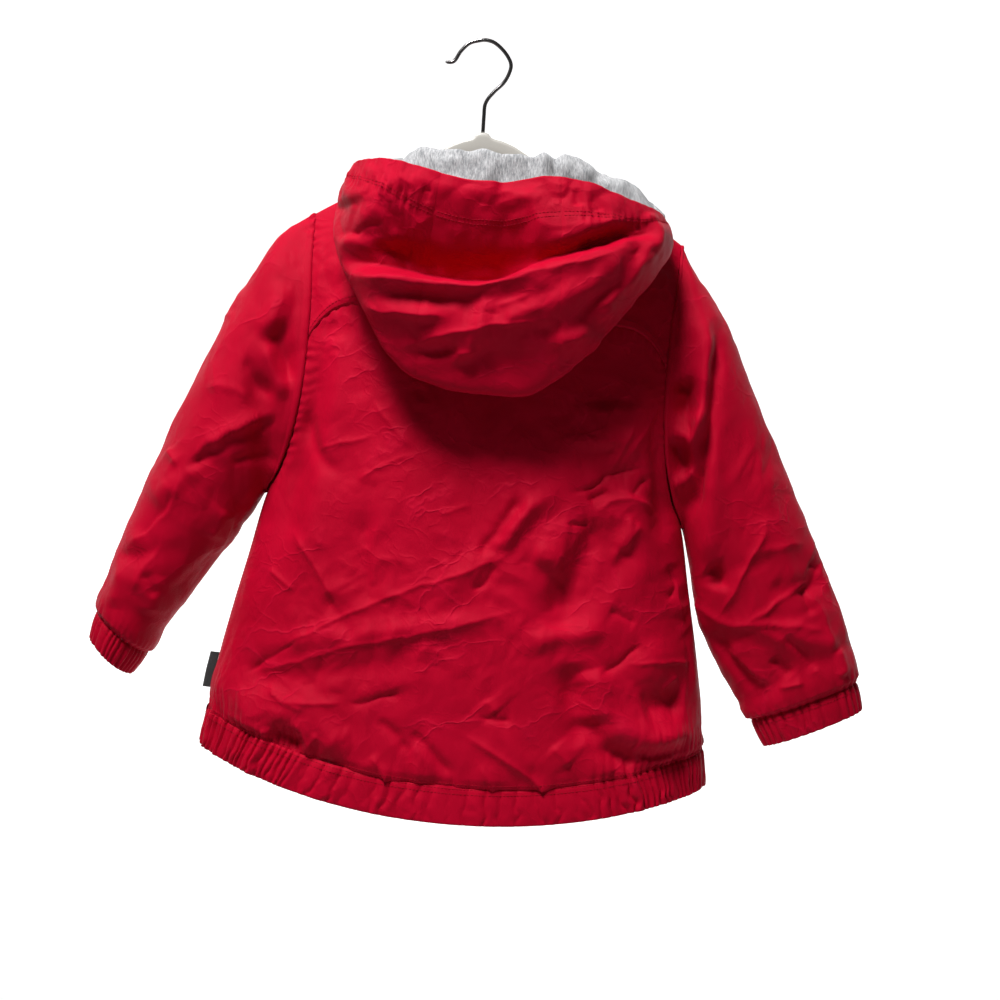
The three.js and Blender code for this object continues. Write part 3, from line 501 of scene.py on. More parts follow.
def new_object(name: str, points: Array, faces: list | Array, material: bpy.types.Material,
               flat: Array | None = None, smoothed: bool = True) -> bpy.types.Object:
    """Makes a mesh object at the origin.

    Args:
        name: the object's name.
        points: its vertices in metres.
        faces: the vertex numbers of each face.
        material: its finish.
        flat: for each vertex, its place on the flat cloth, in metres.
        smoothed: whether it is shaded smooth.

    Returns:
        The new object, linked to the scene.
    """
    mesh = bpy.data.meshes.new(name)
    rows = faces.tolist() if isinstance(faces, np.ndarray) else faces
    mesh.from_pydata(points.reshape(-1, 3).tolist(), [], rows)
    if flat is not None:
        layer = mesh.uv_layers.new(name="flat")
        corners = np.array([i for face in rows for i in face])
        layer.data.foreach_set("uv", flat.reshape(-1, 2)[corners].ravel())
    mesh.polygons.foreach_set("use_smooth", [smoothed] * len(mesh.polygons))
    mesh.materials.append(material)
    mesh.update()
    made = bpy.data.objects.new(name, mesh)
    bpy.context.scene.collection.objects.link(made)
    return made


# ---- the jacket's own form


@dataclass(frozen=True)
class Cut:
    """The jacket's driving sizes in millimetres, where down is a distance below the hook's crown.

    Pairs are for the back and the front.
    """

    neck_half: float = 72
    neck_side: float = 105
    neck_reach: tuple[float, float] = (38, 36)
    neck_drop: tuple[float, float] = (13, 45)
    tip: float = 139
    slope: float = 0.5
    droop: float = 4
    yoke_down: float = 212
    yoke_share: float = 0.456
    yoke_bend: float = 43
    yoke_start: float = 90
    underarm: float = 352
    hem_side: float = 522
    hem_drop: tuple[float, float] = (36, 26)
    band: float = 26
    flare: float = 3.5
    gap: float = 0.3
    zip_half: float = 5.5
    front_top: float = 0.25
    seam_half: float = 1
    profile: float = 2.6


BODY_SECTIONS = Table(
    ("down", "half", "back_edge", "back", "front_edge", "front", "rounding"),
    (
        (142, 139, 8, 41, 8, 30, 1), (176, 137, 20, 42, 18, 37, 1), (213, 134, 26, 44, 22, 39, 1),
        (263, 134, 29, 46, 24, 41, 1), (300, 138, 26, 48, 22, 42, 0.95), (332, 147, 15, 50, 13, 43, 0.7),
        (352, 157, 0, 51, 0, 44, 0.5), (400, 167, 0, 53, 0, 45, 0.5), (448, 177, 0, 55, 0, 46, 0.5),
        (500, 186, 0, 56, 0, 47, 0.5), (548, 190, 0, 56, 0, 47, 0.5), (600, 192, 0, 57, 0, 48, 0.5),
    ),
)

SLEEVE_SECTIONS = {
    Side.LEFT: Table(
        ("at", "outer_x", "outer_down", "inner_x", "inner_down", "depth"),
        (
            (1, 166, 163, 160.5, 359, 34), (2, 190, 205, 167, 371, 38), (3, 212, 258, 179, 391, 38),
            (4, 236, 318, 195, 417, 36), (5, 255, 373, 210, 441, 35), (6, 270, 420, 224, 462, 34),
            (7, 277, 456, 238, 485, 31), (8, 281, 475, 248, 502, 30),
        ),
    ),
    Side.RIGHT: Table(
        ("at", "outer_x", "outer_down", "inner_x", "inner_down", "depth"),
        (
            (1, 151, 162, 160.5, 362, 33), (2, 177, 196, 166, 382, 35), (3, 207, 256, 172.5, 410, 33),
            (4, 236, 312, 180, 434, 29), (5, 264, 367, 193, 455, 26), (6, 289, 420, 208, 478, 23),
            (7, 300, 461, 223, 496, 21), (8, 306, 481, 234, 515, 20),
        ),
    ),
}

HOOD_COLUMNS = ("at", "crest", "fold_x", "fold_y", "fold_down", "rim_x", "rim_y", "rim_down", "arch", "full")
HOOD_SECTIONS = {
    Side.LEFT: Table(
        HOOD_COLUMNS,
        (
            (0, 96, 0, -76, 275, 0, -92, 128, 0, 1), (0.1, 95, 34, -76, 270, 30, -93, 125, 0, 1),
            (0.2, 94, 66, -74, 254, 60, -91, 118, 0, 1), (0.3, 96, 93, -68, 215, 84, -82, 113, 2, 0.8),
            (0.4, 98, 114, -56, 177, 104, -62, 113, 6, 0.5), (0.47, 99, 119, -34, 147, 109, -38, 116, 10, 0.3),
            (0.54, 99, 108, -3, 111, 113, -5, 121, 3, 0.1), (0.62, 101, 103, 19, 116, 111, 26, 131, 2, 0),
            (0.8, 121, 72, 43, 134, 76, 50, 153, 1, 0), (1, 140, 13, 46, 147, 16, 50, 161, 0, 0),
        ),
    ),
    Side.RIGHT: Table(
        HOOD_COLUMNS,
        (
            (0, 96, 0, -76, 275, 0, -92, 128, 0, 1), (0.1, 95, 34, -76, 270, 30, -93, 119, 0, 1),
            (0.2, 94, 64, -74, 246, 60, -91, 119, 0, 1), (0.3, 96, 94, -68, 208, 90, -82, 126, 2, 0.8),
            (0.4, 98, 118, -56, 172, 114, -62, 130, 6, 0.5), (0.47, 99, 127, -33, 148, 121, -39, 131, 10, 0.3),
            (0.54, 99, 112, -3, 114, 120, -5, 126, 4, 0.1), (0.62, 101, 105, 19, 117, 114, 26, 133, 2, 0),
            (0.8, 121, 72, 43, 134, 76, 50, 153, 1, 0), (1, 140, 13, 46, 147, 16, 50, 161, 0, 0),
        ),
    ),
}

# Folds in places of the upright jacket. Each row: x and down of both ends, width, height
BACK_FOLDS = folds(
    (-122, 250, -140, 400, 11, -4), (-104, 240, -118, 420, 14, 3.5), (112, 240, 128, 420, 13, 4),
    (128, 262, 142, 372, 9, -4), (-30, 290, 20, 400, 16, -3), (60, 330, -20, 420, 10, 3),
    (130, 360, 60, 450, 13, -4), (-150, 470, 30, 432, 7, 2.5), (-168, 500, -40, 470, 9, -2.5),
    (78, 470, 116, 530, 12, -4), (140, 440, 150, 505, 14, 4), (-120, 505, -80, 540, 10, 3),
    (20, 500, 60, 545, 10, 2.5),
)
FRONT_FOLDS = folds(
    (-105, 230, -122, 420, 14, 3.5), (105, 230, 120, 400, 14, 3.5), (-60, 330, -110, 470, 12, -3),
    (50, 360, 110, 460, 12, -3), (-150, 480, -70, 510, 10, 2.5), (150, 470, 60, 520, 10, 2.5),
)
HOOD_FOLDS = folds(
    (-112, 172, -30, 180, 11, -13), (-40, 181, 50, 174, 10, -10), (40, 176, 112, 138, 8, -8),
    (-100, 196, 0, 203, 9, 4), (0, 201, 100, 156, 9, 4), (10, 228, 112, 166, 8, 3), (30, 232, 104, 186, 7, -3),
    (-84, 216, -28, 224, 6, 3), (-46, 246, 8, 228, 7, 3.5), (-56, 234, -10, 216, 6, -3),
)
SLEEVE_FOLDS = folds(
    (-200, 330, -160, 300, 9, 3.5), (-240, 372, -206, 340, 9, 3.5), (-172, 268, -150, 340, 10, -4),
    (-262, 420, -226, 404, 8, -3), (156, 270, 160, 350, 9, -5), (172, 292, 178, 380, 9, 3.5),
    (206, 300, 250, 420, 10, 3), (226, 400, 268, 386, 8, -4), (230, 428, 284, 436, 8, 3.5),
)

# Creases in places of the upright jacket. Each row: width, height, then x and down of every place it passes
BACK_CREASES = creases(
    (7, -6, 104, 522, 130, 529, 158, 524, 176, 514), (9, -4, -150, 524, -128, 532, -100, 545, -70, 556),
    (3, 2.2, -118, 520, -106, 536, -101, 552), (3, 2, -60, 540, -48, 552, -44, 566),
    (3, 2, 128, 520, 136, 528, 146, 530), (2, 1.2, 20, 540, 31, 556, 34, 568),
    (12, -7.2, 100, 350, 82, 390, 60, 437), (8, 2.9, 45, 384, 70, 391), (5, -3.6, 38, 342, 28, 356, 15, 376, 7, 393),
    (5, 2.6, 45, 343, 35, 363, 22, 386),
    (1.6, 1.2, 40, 379, 12, 396, -11, 407, -40, 417, -72, 433, -105, 452, -130, 467, -148, 486),
    (1.6, 1.1, 45, 423, 16, 435, -22, 447, -60, 458, -94, 467, -129, 482, -158, 490),
    (2.5, -1.6, 22, 395, 13, 408, 4, 416), (9, -3.2, -81, 363, -81, 395, -70, 435),
    (3, 1.6, -134, 382, -119, 398, -103, 421, -89, 439), (7, -3.2, -101, 426, -91, 444, -77, 460),
    (2, 1.2, -149, 412, -125, 428), (3, -2.2, -160, 492, -137, 475, -119, 461),
    (2.5, 1.4, -140, 497, -129, 509, -107, 514), (2, 1.4, -129, 509, -105, 508, -83, 505),
    (7, -4.2, -134, 529, -112, 543), (2.5, 1.6, -98, 528, -109, 546),
    (3, -2, -38, 492, -52, 497, -66, 504, -81, 504), (4, -2.3, -56, 514, -40, 525, -31, 539),
    (4, -2.9, -31, 520, -15, 535, 3, 551), (3, 2.2, 6, 519, 34, 533, 60, 548, 86, 568),
    (3, -1.9, 17, 506, 32, 507, 43, 508), (3, 1.6, 21, 493, 29, 502), (3, 1.9, 72, 522, 86, 536),
    (14, 6.5, 93, 465, 99, 486, 102, 506), (12, 6.5, 102, 507, 129, 508, 154, 512, 170, 501),
    (14, -7.8, 135, 493, 152, 485, 169, 486), (13, -6.5, 79, 461, 86, 487, 94, 523),
    (8, 3.9, 43, 452, 70, 441, 106, 437), (3, -2.2, 102, 470, 118, 458, 133, 442),
    (1.8, 1.2, 120, 460, 149, 456, 174, 456), (2, 1.4, 149, 479, 162, 466),
    (3, 1.6, 127, 262, 131, 271, 118, 292, 107, 310), (3, 1.6, 112, 283, 98, 318),
    (2.5, -2.2, 68, 338, 90, 331, 98, 320, 125, 315), (2.5, -2.2, 82, 341, 101, 335),
    (3, -2.4, 115, 338, 121, 326, 128, 323), (3, 1.9, 89, 349, 107, 337, 122, 339, 132, 347),
    (2, -1.4, 70, 361, 87, 359), (4, 2.3, 113, 348, 115, 368, 104, 388), (3, 1.6, 123, 355, 111, 378),
    (3, -1.9, 148, 384, 156, 398, 150, 413), (3, 1.9, 154, 394, 161, 422), (3, -1.6, 105, 420, 127, 429),
    (2, 1.1, -81, 282, -70, 296, -48, 316), (2, 0.9, -88, 342, -67, 327, -46, 320),
    (1.6, 0.8, -121, 322, -100, 316, -76, 308), (1.6, 0.7, -25, 362, -1, 353), (16, 4.5, 91, 267, 95, 306),
    (6, -2.6, -134, 287, -124, 318, -100, 343),
)
HOOD_CREASES = (
    Recess(((-112, 180, 184, 2), (-99, 162, 189, 12), (-81, 138, 190, 27), (-69, 126, 190, 33), (-43, 128, 191, 34),
            (-14, 131, 191, 34), (7, 130, 187, 31), (19, 134, 180, 24), (30, 150, 175, 15), (46, 152, 170, 11),
            (73, 146, 160, 8), (98, 141, 150, 5), (114, 138, 145, 0)), 7),
    Recess(((-96, 206, 270, 0), (-70, 208, 276, 8), (-40, 208, 284, 14), (0, 208, 286, 14), (40, 215, 276, 11),
            (80, 215, 262, 0)), 30),
) + folds(
    (-70, 206, 30, 203, 14, -5), (-114, 138, -114, 172, 13, -5.5),
) + creases(
    (3.2, 2.2, -106, 192, -80, 199, -49, 201, -10, 200, 15, 192, 40, 182, 68, 173, 99, 159),
    (8, -4.5, -89, 210, -58, 211, -20, 210, -2, 206), (2.5, 2, -92, 214, -77, 222, -59, 222, -31, 222),
    (2, 1.8, -65, 248, -49, 242, -35, 236, -18, 232, -4, 226, 11, 224, 37, 219),
    (6, -3, -58, 251, -38, 249, -20, 242), (6, 3.2, -53, 259, -35, 258, -18, 250, -8, 241, -7, 224, 0, 207),
    (4, 2, 10, 220, 24, 214, 36, 208), (5, 2.6, 44, 233, 55, 232, 72, 219),
    (9, 3, 98, 162, 73, 186, 49, 205, 39, 217), (6, -3, 108, 149, 97, 172, 81, 195, 60, 213),
    (6, 4, 115, 148, 102, 171, 91, 190, 72, 219), (5, -5, 60, 165, 79, 154, 96, 147),
    (5, 3, 31, 166, 56, 158, 78, 146, 96, 140), (4, -2, 53, 123, 56, 137), (4, -2.2, 65, 123, 71, 139),
    (5, 4, 104, 132, 116, 146, 112, 162), (3, -2.4, -109, 171, -98, 161, -83, 156),
    (5, 3.2, -106, 176, -83, 170, -66, 161), (5, 2, 4, 148, 22, 148), (4, 1.6, 17, 130, 30, 134),
    (3, -1.6, -56, 132, -48, 134), (2, 1.2, 4, 212, 16, 208, 29, 202), (2, -1.2, -4, 217, 7, 219),
    (3, 1.6, -22, 247, -7, 245),
)
LEFT_SLEEVE_CREASES = creases(
    (3, 2.2, -232, 331, -219, 343), (3, 2.2, -219, 343, -188, 316, -148, 295),
    (4, -3.1, -218, 347, -185, 322, -148, 301), (3, 2.1, -219, 346, -217, 353, -221, 373, -241, 395, -258, 409),
    (3, -2.1, -220, 361, -226, 376, -248, 400), (6, 3.6, -167, 245, -155, 268, -146, 285),
    (9, -6.3, -159, 229, -149, 255, -140, 277), (9, 3.5, -170, 242, -161, 227, -156, 199),
    (5, -2.8, -179, 258, -170, 275, -154, 286), (2.5, 1.4, -206, 283, -182, 281, -171, 292),
    (4, -2.8, -182, 338, -163, 328, -144, 337), (3, 2, -183, 372, -190, 383, -194, 396),
    (3, 1.7, -228, 401, -241, 425, -247, 440), (6, -3.5, -181, 402, -201, 421, -219, 442),
    (4, -2.8, -238, 424, -230, 441), (7, 3.5, -254, 411, -257, 438, -258, 453), (7, 2.8, -233, 424, -233, 456),
    (1.6, 0.8, -213, 229, -191, 226),
)
RIGHT_SLEEVE_CREASES = creases(
    (8, 7.5, 152, 190, 162, 215, 163, 245, 163, 275, 159, 330), (5, -7, 168, 205, 169, 249, 167, 300, 163, 350),
    (8, -12, 143, 247, 152, 258, 148, 274), (6, 8.5, 142, 284, 152, 287, 160, 293, 161, 265),
    (7, -10, 143, 291, 147, 304, 155, 318), (3, 2.5, 146, 330, 154, 322, 162, 312),
    (3, 2.2, 216, 340, 216, 360, 205, 381, 195, 409, 188, 420), (2, 1.5, 211, 370, 228, 365, 248, 360),
    (7, -7.2, 178, 383, 186, 390, 184, 400), (3, 2.7, 169, 411, 194, 425, 209, 424, 246, 421, 274, 425),
    (2.5, 2.1, 209, 424, 227, 409, 243, 394, 258, 386), (2.5, 2.1, 209, 424, 234, 431, 258, 448, 274, 462),
    (4, -3.5, 234, 428, 253, 441, 264, 455), (3, 2.1, 251, 394, 267, 410, 277, 437), (3, -2.4, 248, 390, 258, 414),
    (4, 3.2, 282, 436, 286, 458), (5, -4.2, 185, 432, 206, 453, 226, 474), (3, 2.1, 237, 468, 257, 464),
    (3, 2.4, 198, 444, 233, 468), (4, -3.2, 231, 446, 247, 459), (3, -1.8, 254, 374, 265, 378),
)
FRONT_CREASES = creases(
    (10, -4.2, -118, 250, -96, 330, -104, 400), (6, 2.9, -70, 300, -112, 372, -140, 450),
    (3, 1.8, -30, 350, -70, 372, -128, 380), (2.5, -1.6, -40, 420, -90, 452, -150, 458),
    (8, -3.6, -60, 470, -88, 500, -96, 535), (3, 1.8, -24, 500, -60, 522, -92, 548),
    (2.2, 1.3, -130, 300, -150, 360, -160, 420), (9, 3.6, 96, 240, 104, 320, 90, 400),
    (4, -2.6, 128, 370, 92, 402, 40, 420), (3, 2, 140, 400, 96, 436, 28, 452), (2.4, 1.4, 22, 300, 60, 330, 84, 372),
    (7, -3.6, 70, 450, 100, 492, 96, 540), (5, 2.9, 150, 440, 140, 490, 150, 525),
    (2.4, -1.4, 30, 480, 66, 500, 120, 506), (2, 1.2, -90, 210, -60, 250, -52, 300),
    (2, 1.2, 60, 205, 52, 250, 70, 300),
)
FAR_SLEEVE_CREASES = creases(
    (3, 2.1, -246, 372, -212, 352, -170, 332), (4, -2.6, -250, 384, -214, 366, -172, 346),
    (6, 2.9, -188, 240, -178, 290, -166, 330), (3, 1.6, -262, 410, -236, 430, -226, 452),
    (5, -2.9, -222, 400, -236, 428, -252, 450), (2.4, 1.3, -200, 300, -222, 330, -240, 340),
    (7, 3.6, 168, 260, 172, 320, 182, 380), (3, 2.1, 176, 420, 214, 430, 262, 404),
    (5, -3.1, 190, 396, 206, 420, 200, 446), (2.5, 1.8, 222, 440, 256, 452, 286, 440),
    (3, -1.8, 232, 350, 246, 390, 250, 430), (4, 2.4, 262, 380, 276, 420, 282, 452),
)


@dataclass(frozen=True)
class BodyForm:
    """The skins of yoke, back, fronts and hem band."""

    cut: Cut = Cut()

    def half(self, down: Array | float) -> Array:
        """Half the jacket's width at a height."""
        return BODY_SECTIONS.read("half", down)

    def depth(self, panel: Panel, x: Array, down: Array) -> Array:
        """Distance of the back or front from the jacket's middle plane."""
        edge = BODY_SECTIONS.read(panel.value + "_edge", down)
        centre = BODY_SECTIONS.read(panel.value, down)
        across = np.minimum(np.abs(x) / self.half(down), 1)
        swell = (1 - across ** self.cut.profile) ** BODY_SECTIONS.read("rounding", down)
        return self.cut.gap / 2 + edge + (centre - edge) * swell

    def top(self, panel: Panel, x: Array) -> tuple[Array, Array]:
        """The line along the shoulder and round the neck: its y, and how far down it is."""
        cut, back = self.cut, panel is Panel.BACK
        across = np.abs(x)
        sign = -1 if back else 1
        reach, drop = cut.neck_reach[not back], cut.neck_drop[not back]
        beyond = np.maximum(across - cut.neck_half, 0)
        fall = cut.slope * beyond + cut.droop * (beyond / (cut.tip - cut.neck_half)) ** 3
        inward = np.sqrt(np.maximum(1 - (across / cut.neck_half) ** 2, 0))
        y = sign * (reach * inward + cut.seam_half)
        return y, cut.neck_side + np.where(across >= cut.neck_half, fall, drop * inward ** 2)

    @property
    def armhole_top(self) -> float:
        """How far down the armhole starts."""
        return float(self.top(Panel.BACK, np.array(self.cut.tip))[1])

    @property
    def yoke_end(self) -> float:
        """How far down the yoke ends at the armhole."""
        return mix(self.armhole_top, self.cut.underarm, self.cut.yoke_share)

    def yoke_seam(self, x: Array) -> Array:
        """How far down the yoke seam runs."""
        bend = np.maximum(0, np.abs(x) - self.cut.yoke_start) / self.cut.yoke_bend
        return self.cut.yoke_down + (self.yoke_end - self.cut.yoke_down) * bend ** 3

    def hem_top(self, panel: Panel, x: Array) -> Array:
        """How far down the hem band's seam runs."""
        drop = self.cut.hem_drop[panel is Panel.FRONT]
        share = np.minimum(1, (x / self.half(self.cut.hem_side)) ** 2)
        return self.cut.hem_side + drop * (1 - share)

    @staticmethod
    def ease(t: Array) -> Array:
        """How far a cloth that leaves the shoulder line has come out to its full depth."""
        return (1 - (1 - np.clip(t, 0, 1)) ** 3) ** 0.6

    def yoke(self, u: Array, v: Array) -> Array:
        """Back yoke: u from the left armhole (-1) to the right (1), v from shoulder to yoke seam."""
        top_y, top_down = self.top(Panel.BACK, u * self.cut.tip)
        x = u * self.half(mix(self.armhole_top, self.yoke_end, v))
        down = mix(top_down, self.yoke_seam(u * self.half(self.yoke_end)), v)
        return np.stack([x, mix(top_y, -self.depth(Panel.BACK, x, down), self.ease(v)), -down], -1)

    def back(self, u: Array, v: Array) -> Array:
        """Back panel: v from the yoke seam to the hem band."""
        x = u * self.half(mix(self.yoke_end, self.cut.hem_side, v))
        down = mix(self.yoke_seam(u * self.half(self.yoke_end)), self.hem_top(Panel.BACK, x), v)
        return np.stack([x, -self.depth(Panel.BACK, x, down), -down], -1)

    def front(self, side: Side, u: Array, v: Array) -> Array:
        """One front: u from the zip (0) to the side (1), v from the shoulder to the hem band."""
        cut = self.cut
        top_y, top_down = self.top(Panel.FRONT, mix(cut.zip_half, cut.tip, u))
        x = mix(cut.zip_half, self.half(mix(self.armhole_top, cut.hem_side, v)), u)
        down = mix(top_down, self.hem_top(Panel.FRONT, x), v)
        y = mix(top_y, self.depth(Panel.FRONT, x, down), self.ease(v / cut.front_top))
        return np.stack([side.value * x, y, -down], -1)

    def band(self, around: Array, v: Array) -> Array:
        """Hem band: around 0 to 1 over the right front, to 3 over the back, to 4 over the left front."""
        cut, half = self.cut, self.half(self.cut.hem_side)
        on_back = (around > 1) & (around < 3)
        turn = np.where(around <= 1, around, 4 - around)
        front_x = mix(cut.zip_half, half, np.sin(math.pi / 2 * turn)) * np.where(around <= 1, 1, -1)
        x = np.where(on_back, half * np.cos(math.pi / 2 * (around - 1)), front_x)
        down = np.where(on_back, self.hem_top(Panel.BACK, x), self.hem_top(Panel.FRONT, x))
        at = np.minimum(down, cut.hem_side)
        depth = np.where(on_back, -self.depth(Panel.BACK, x, at), self.depth(Panel.FRONT, x, at))
        grown = np.where(np.abs(x) > cut.zip_half + 1, x * (1 + v * cut.flare / half), x)
        return np.stack([grown, depth + np.sign(depth) * v * cut.flare * 0.6, -down - cut.gap - v * cut.band], -1)

    def armhole(self, side: Side, turn: Array) -> Array:
        """The armhole seam: turn 0 at the shoulder, pi at the underarm, back side first."""
        cut = self.cut
        down = mix(self.armhole_top, cut.underarm, (1 - np.cos(turn)) / 2)
        one = np.ones_like(turn)
        front = self.front(side, one, (down - self.armhole_top) / (cut.hem_side - self.armhole_top))
        yoke = self.yoke(side.value * one, (down - self.armhole_top) / (self.yoke_end - self.armhole_top))
        back = self.back(side.value * one, (down - self.yoke_end) / (cut.hem_side - self.yoke_end))
        on_yoke = (down < self.yoke_end)[..., None]
        return np.where((turn > math.pi)[..., None], front, np.where(on_yoke, yoke, back))


@dataclass(frozen=True)
class SleeveForm:
    """The skins of one sleeve and its cuff; u is the turn round the arm, back side first."""

    side: Side
    body: BodyForm = BodyForm()

    def ring(self, row: int, turn: Array) -> Array:
        """One ring of the sleeve from its outer and inner edge."""
        table = SLEEVE_SECTIONS[self.side]
        _, outer_x, outer_down, inner_x, inner_down, depth = table.rows[row]
        low = (1 - np.cos(turn)) / 2
        x = self.side.value * mix(outer_x, inner_x, low)
        return np.stack([x, -depth * np.sin(turn), -mix(outer_down, inner_down, low)], -1)

    def sleeve(self, turn: Array, v: Array) -> Array:
        """Rows of points: v runs 0 at the armhole to 1 at the cuff seam."""
        seam = self.body.armhole(self.side, turn)
        low = (1 - np.cos(turn)) / 2
        seam[..., 0] += self.side.value * mix(0.5, 1.8, low ** 4)
        rings = np.stack([seam] + [self.ring(row, turn) for row in range(7)])
        return hermite(np.arange(8.0), rings, v * 7)

    def cuff(self, turn: Array, v: Array) -> Array:
        """Rows of points: v runs 0 at the cuff's seam to 1 at its mouth."""
        start, end = self.ring(6, turn), self.ring(7, turn)
        return mix(start, end, (0.02 + 0.98 * v)[:, None, None])


@dataclass(frozen=True)
class HoodForm:
    """The skin of the hood, which hangs down the back as a pouch."""

    cut: Cut = Cut()
    front_half: float = 8
    growth: float = 1.04
    panel_mark: float = 30
    lift: float = 0.6

    @property
    def sweep(self) -> float:
        """The turn from mid back to the hood's front end."""
        return math.pi - math.asin(self.front_half / self.cut.neck_half)

    @property
    def split(self) -> float:
        """Where the seams beside the middle panel run."""
        return math.asin(self.panel_mark / self.cut.neck_half) / self.sweep

    def half(self, side: Side, at: Array, v: Array) -> Array:
        """One side: at from mid back (0) to the front end (1), v from the neck seam to the face edge."""
        cut, table = self.cut, HOOD_SECTIONS[side]
        read = {name: table.read(name, at) for name in HOOD_COLUMNS[1:]}
        turn = at * self.sweep
        back = np.cos(turn) > 0
        inward = np.abs(np.cos(turn))
        aside = np.clip(8 * np.cos(turn), -1, 1)
        seam = np.stack([
            side.value * cut.neck_half * np.sin(turn),
            np.where(back, -cut.neck_reach[0], cut.neck_reach[1]) * inward - aside * cut.seam_half,
            -cut.neck_side - np.where(back, *cut.neck_drop) * inward ** 2 + self.lift,
        ], -1)
        crest = np.stack([seam[..., 0] * self.growth, seam[..., 1] * self.growth, -read["crest"]], -1)
        fold = np.stack([side.value * read["fold_x"], read["fold_y"], -read["fold_down"]], -1)
        rim = np.stack([side.value * read["rim_x"], read["rim_y"], -read["rim_down"]], -1)
        inner = mix(crest, fold, 0.45)
        inner[..., 2] += read["arch"]
        inner[..., 1] += 5 * read["full"]
        knots = [seam, crest, inner, fold]
        for share, out in ((0.2, 15), (0.5, 18), (0.8, 9)):
            place = mix(fold, rim, share)
            away = np.stack([place[..., 0] * 0.004 * read["full"], -read["full"], 0 * read["full"]], -1)
            knots.append(place + away * out)
        return through(np.stack(knots + [rim]), v)

    def sheet(self, u: Array, v: Array) -> Array:
        """Rows of points: u from the left front (-1) over mid back to the right front (1)."""
        left = self.half(Side.LEFT, np.abs(u), v)
        right = self.half(Side.RIGHT, np.abs(u), v)
        return np.where((u < 0)[None, :, None], left, right)


# ---- finishes


class Signal:
    """A number on its way through a material, with its sums written as Python."""

    def __init__(self, bench: "Bench", socket: bpy.types.NodeSocket) -> None:
        """Wraps a socket of the bench's material."""
        self.bench = bench
        self.socket = socket

    def _sum(self, operation: str, other: "Signal | float") -> "Signal":
        """Adds one Math node that takes this number and another."""
        return self.bench.node("ShaderNodeMath", {"operation": operation}, {0: self, 1: other})

    def __add__(self, other: "Signal | float") -> "Signal":
        """Sum."""
        return self._sum("ADD", other)

    def __mul__(self, other: "Signal | float") -> "Signal":
        """Product."""
        return self._sum("MULTIPLY", other)

    def sine(self) -> "Signal":
        """Sine of the number."""
        return self._sum("SINE", 0.0)


class Bench:
    """One material under construction."""

    def __init__(self, name: str, colour: Colour, roughness: float,
                 fixed: dict[str, float | tuple]) -> None:
        """Starts a material.

        Args:
            name: the material's name.
            colour: its base colour.
            roughness: its roughness.
            fixed: values that stay the same all over, by the shader's socket names.
        """
        self.material = bpy.data.materials.new(name)
        self.material.use_nodes = True
        self.material.diffuse_color = (*colour, 1)
        self.shader = self.material.node_tree.nodes["Principled BSDF"]
        self.shader.inputs["Base Color"].default_value = (*colour, 1)
        self.shader.inputs["Roughness"].default_value = roughness
        for socket, value in fixed.items():
            self.shader.inputs[socket].default_value = value

    def link(self, value: "Signal | float | tuple", socket: bpy.types.NodeSocket) -> None:
        """Gives a socket its value or its link."""
        if isinstance(value, Signal):
            self.material.node_tree.links.new(value.socket, socket)
        else:
            socket.default_value = value

    def node(self, kind: str, settings: dict, inputs: dict, output: str | int = 0) -> Signal:
        """Adds any node.

        Args:
            kind: the node's type.
            settings: its own settings, set first.
            inputs: the value or link of each socket.
            output: the output that is wanted.

        Returns:
            The output as a signal.
        """
        made = self.material.node_tree.nodes.new(kind)
        for setting, value in settings.items():
            setattr(made, setting, value)
        for socket, value in inputs.items():
            self.link(value, made.inputs[socket])
        return Signal(self, made.outputs[output])

    def into(self, socket: str, value: Signal) -> None:
        """Links a signal into the shader."""
        self.link(value, self.shader.inputs[socket])

    def place(self, on_cloth: bool) -> Signal:
        """Where a point lies: on the flat cloth, or in space."""
        if on_cloth:
            return self.node("ShaderNodeUVMap", {"uv_map": "flat"}, {}, "UV")
        return self.node("ShaderNodeTexCoord", {}, {}, "Object")

    def noise(self, place: Signal, scale: float, detail: float = 2, rough: float = 0.5,
              stretch: tuple[float, float, float] | None = None, output: int = 0) -> Signal:
        """Adds noise.

        Args:
            place: where it is read.
            scale: bumps to the metre.
            detail: how many finer noises are laid over it.
            rough: how strong these are.
            stretch: factors on the place, or none.
            output: 0 for a number from 0 to 1, 1 for three of them.

        Returns:
            The noise as a signal.
        """
        if stretch:
            place = self.node("ShaderNodeVectorMath", {"operation": "MULTIPLY"}, {0: place, 1: stretch})
        return self.node("ShaderNodeTexNoise", {"noise_dimensions": "3D"},
                         {"Vector": place, "Scale": scale, "Detail": detail, "Roughness": rough}, output)

    def blend(self, share: Signal, first: Signal | Colour, second: Signal | Colour) -> Signal:
        """Mixes two colours."""
        first, second = (colour if isinstance(colour, Signal) else (*colour, 1) for colour in (first, second))
        return self.node("ShaderNodeMix", {"data_type": "RGBA"}, {0: share, 6: first, 7: second}, 2)

    def range(self, value: Signal, low: float, high: float, to_low: float = 0, to_high: float = 1) -> Signal:
        """Maps a range of a number onto another, clamped."""
        return self.node("ShaderNodeMapRange", {"clamp": True}, {
            "Value": value, "From Min": low, "From Max": high, "To Min": to_low, "To Max": to_high})

    def bump(self, height: Signal, distance: float, strength: float = 1.0) -> None:
        """Feeds a height in units of distance into the shader's normal."""
        self.into("Normal", self.node("ShaderNodeBump", {}, {
            "Strength": strength, "Distance": distance, "Height": height}))

    def weave(self, place: Signal, pitch: float) -> Signal:
        """Height of a plain weave, from -1 to 1."""
        turns = 2 * math.pi / pitch
        parts = [self.node("ShaderNodeSeparateXYZ", {}, {0: place}, k) for k in (0, 1)]
        return (parts[0] * turns).sine() * (parts[1] * turns).sine()


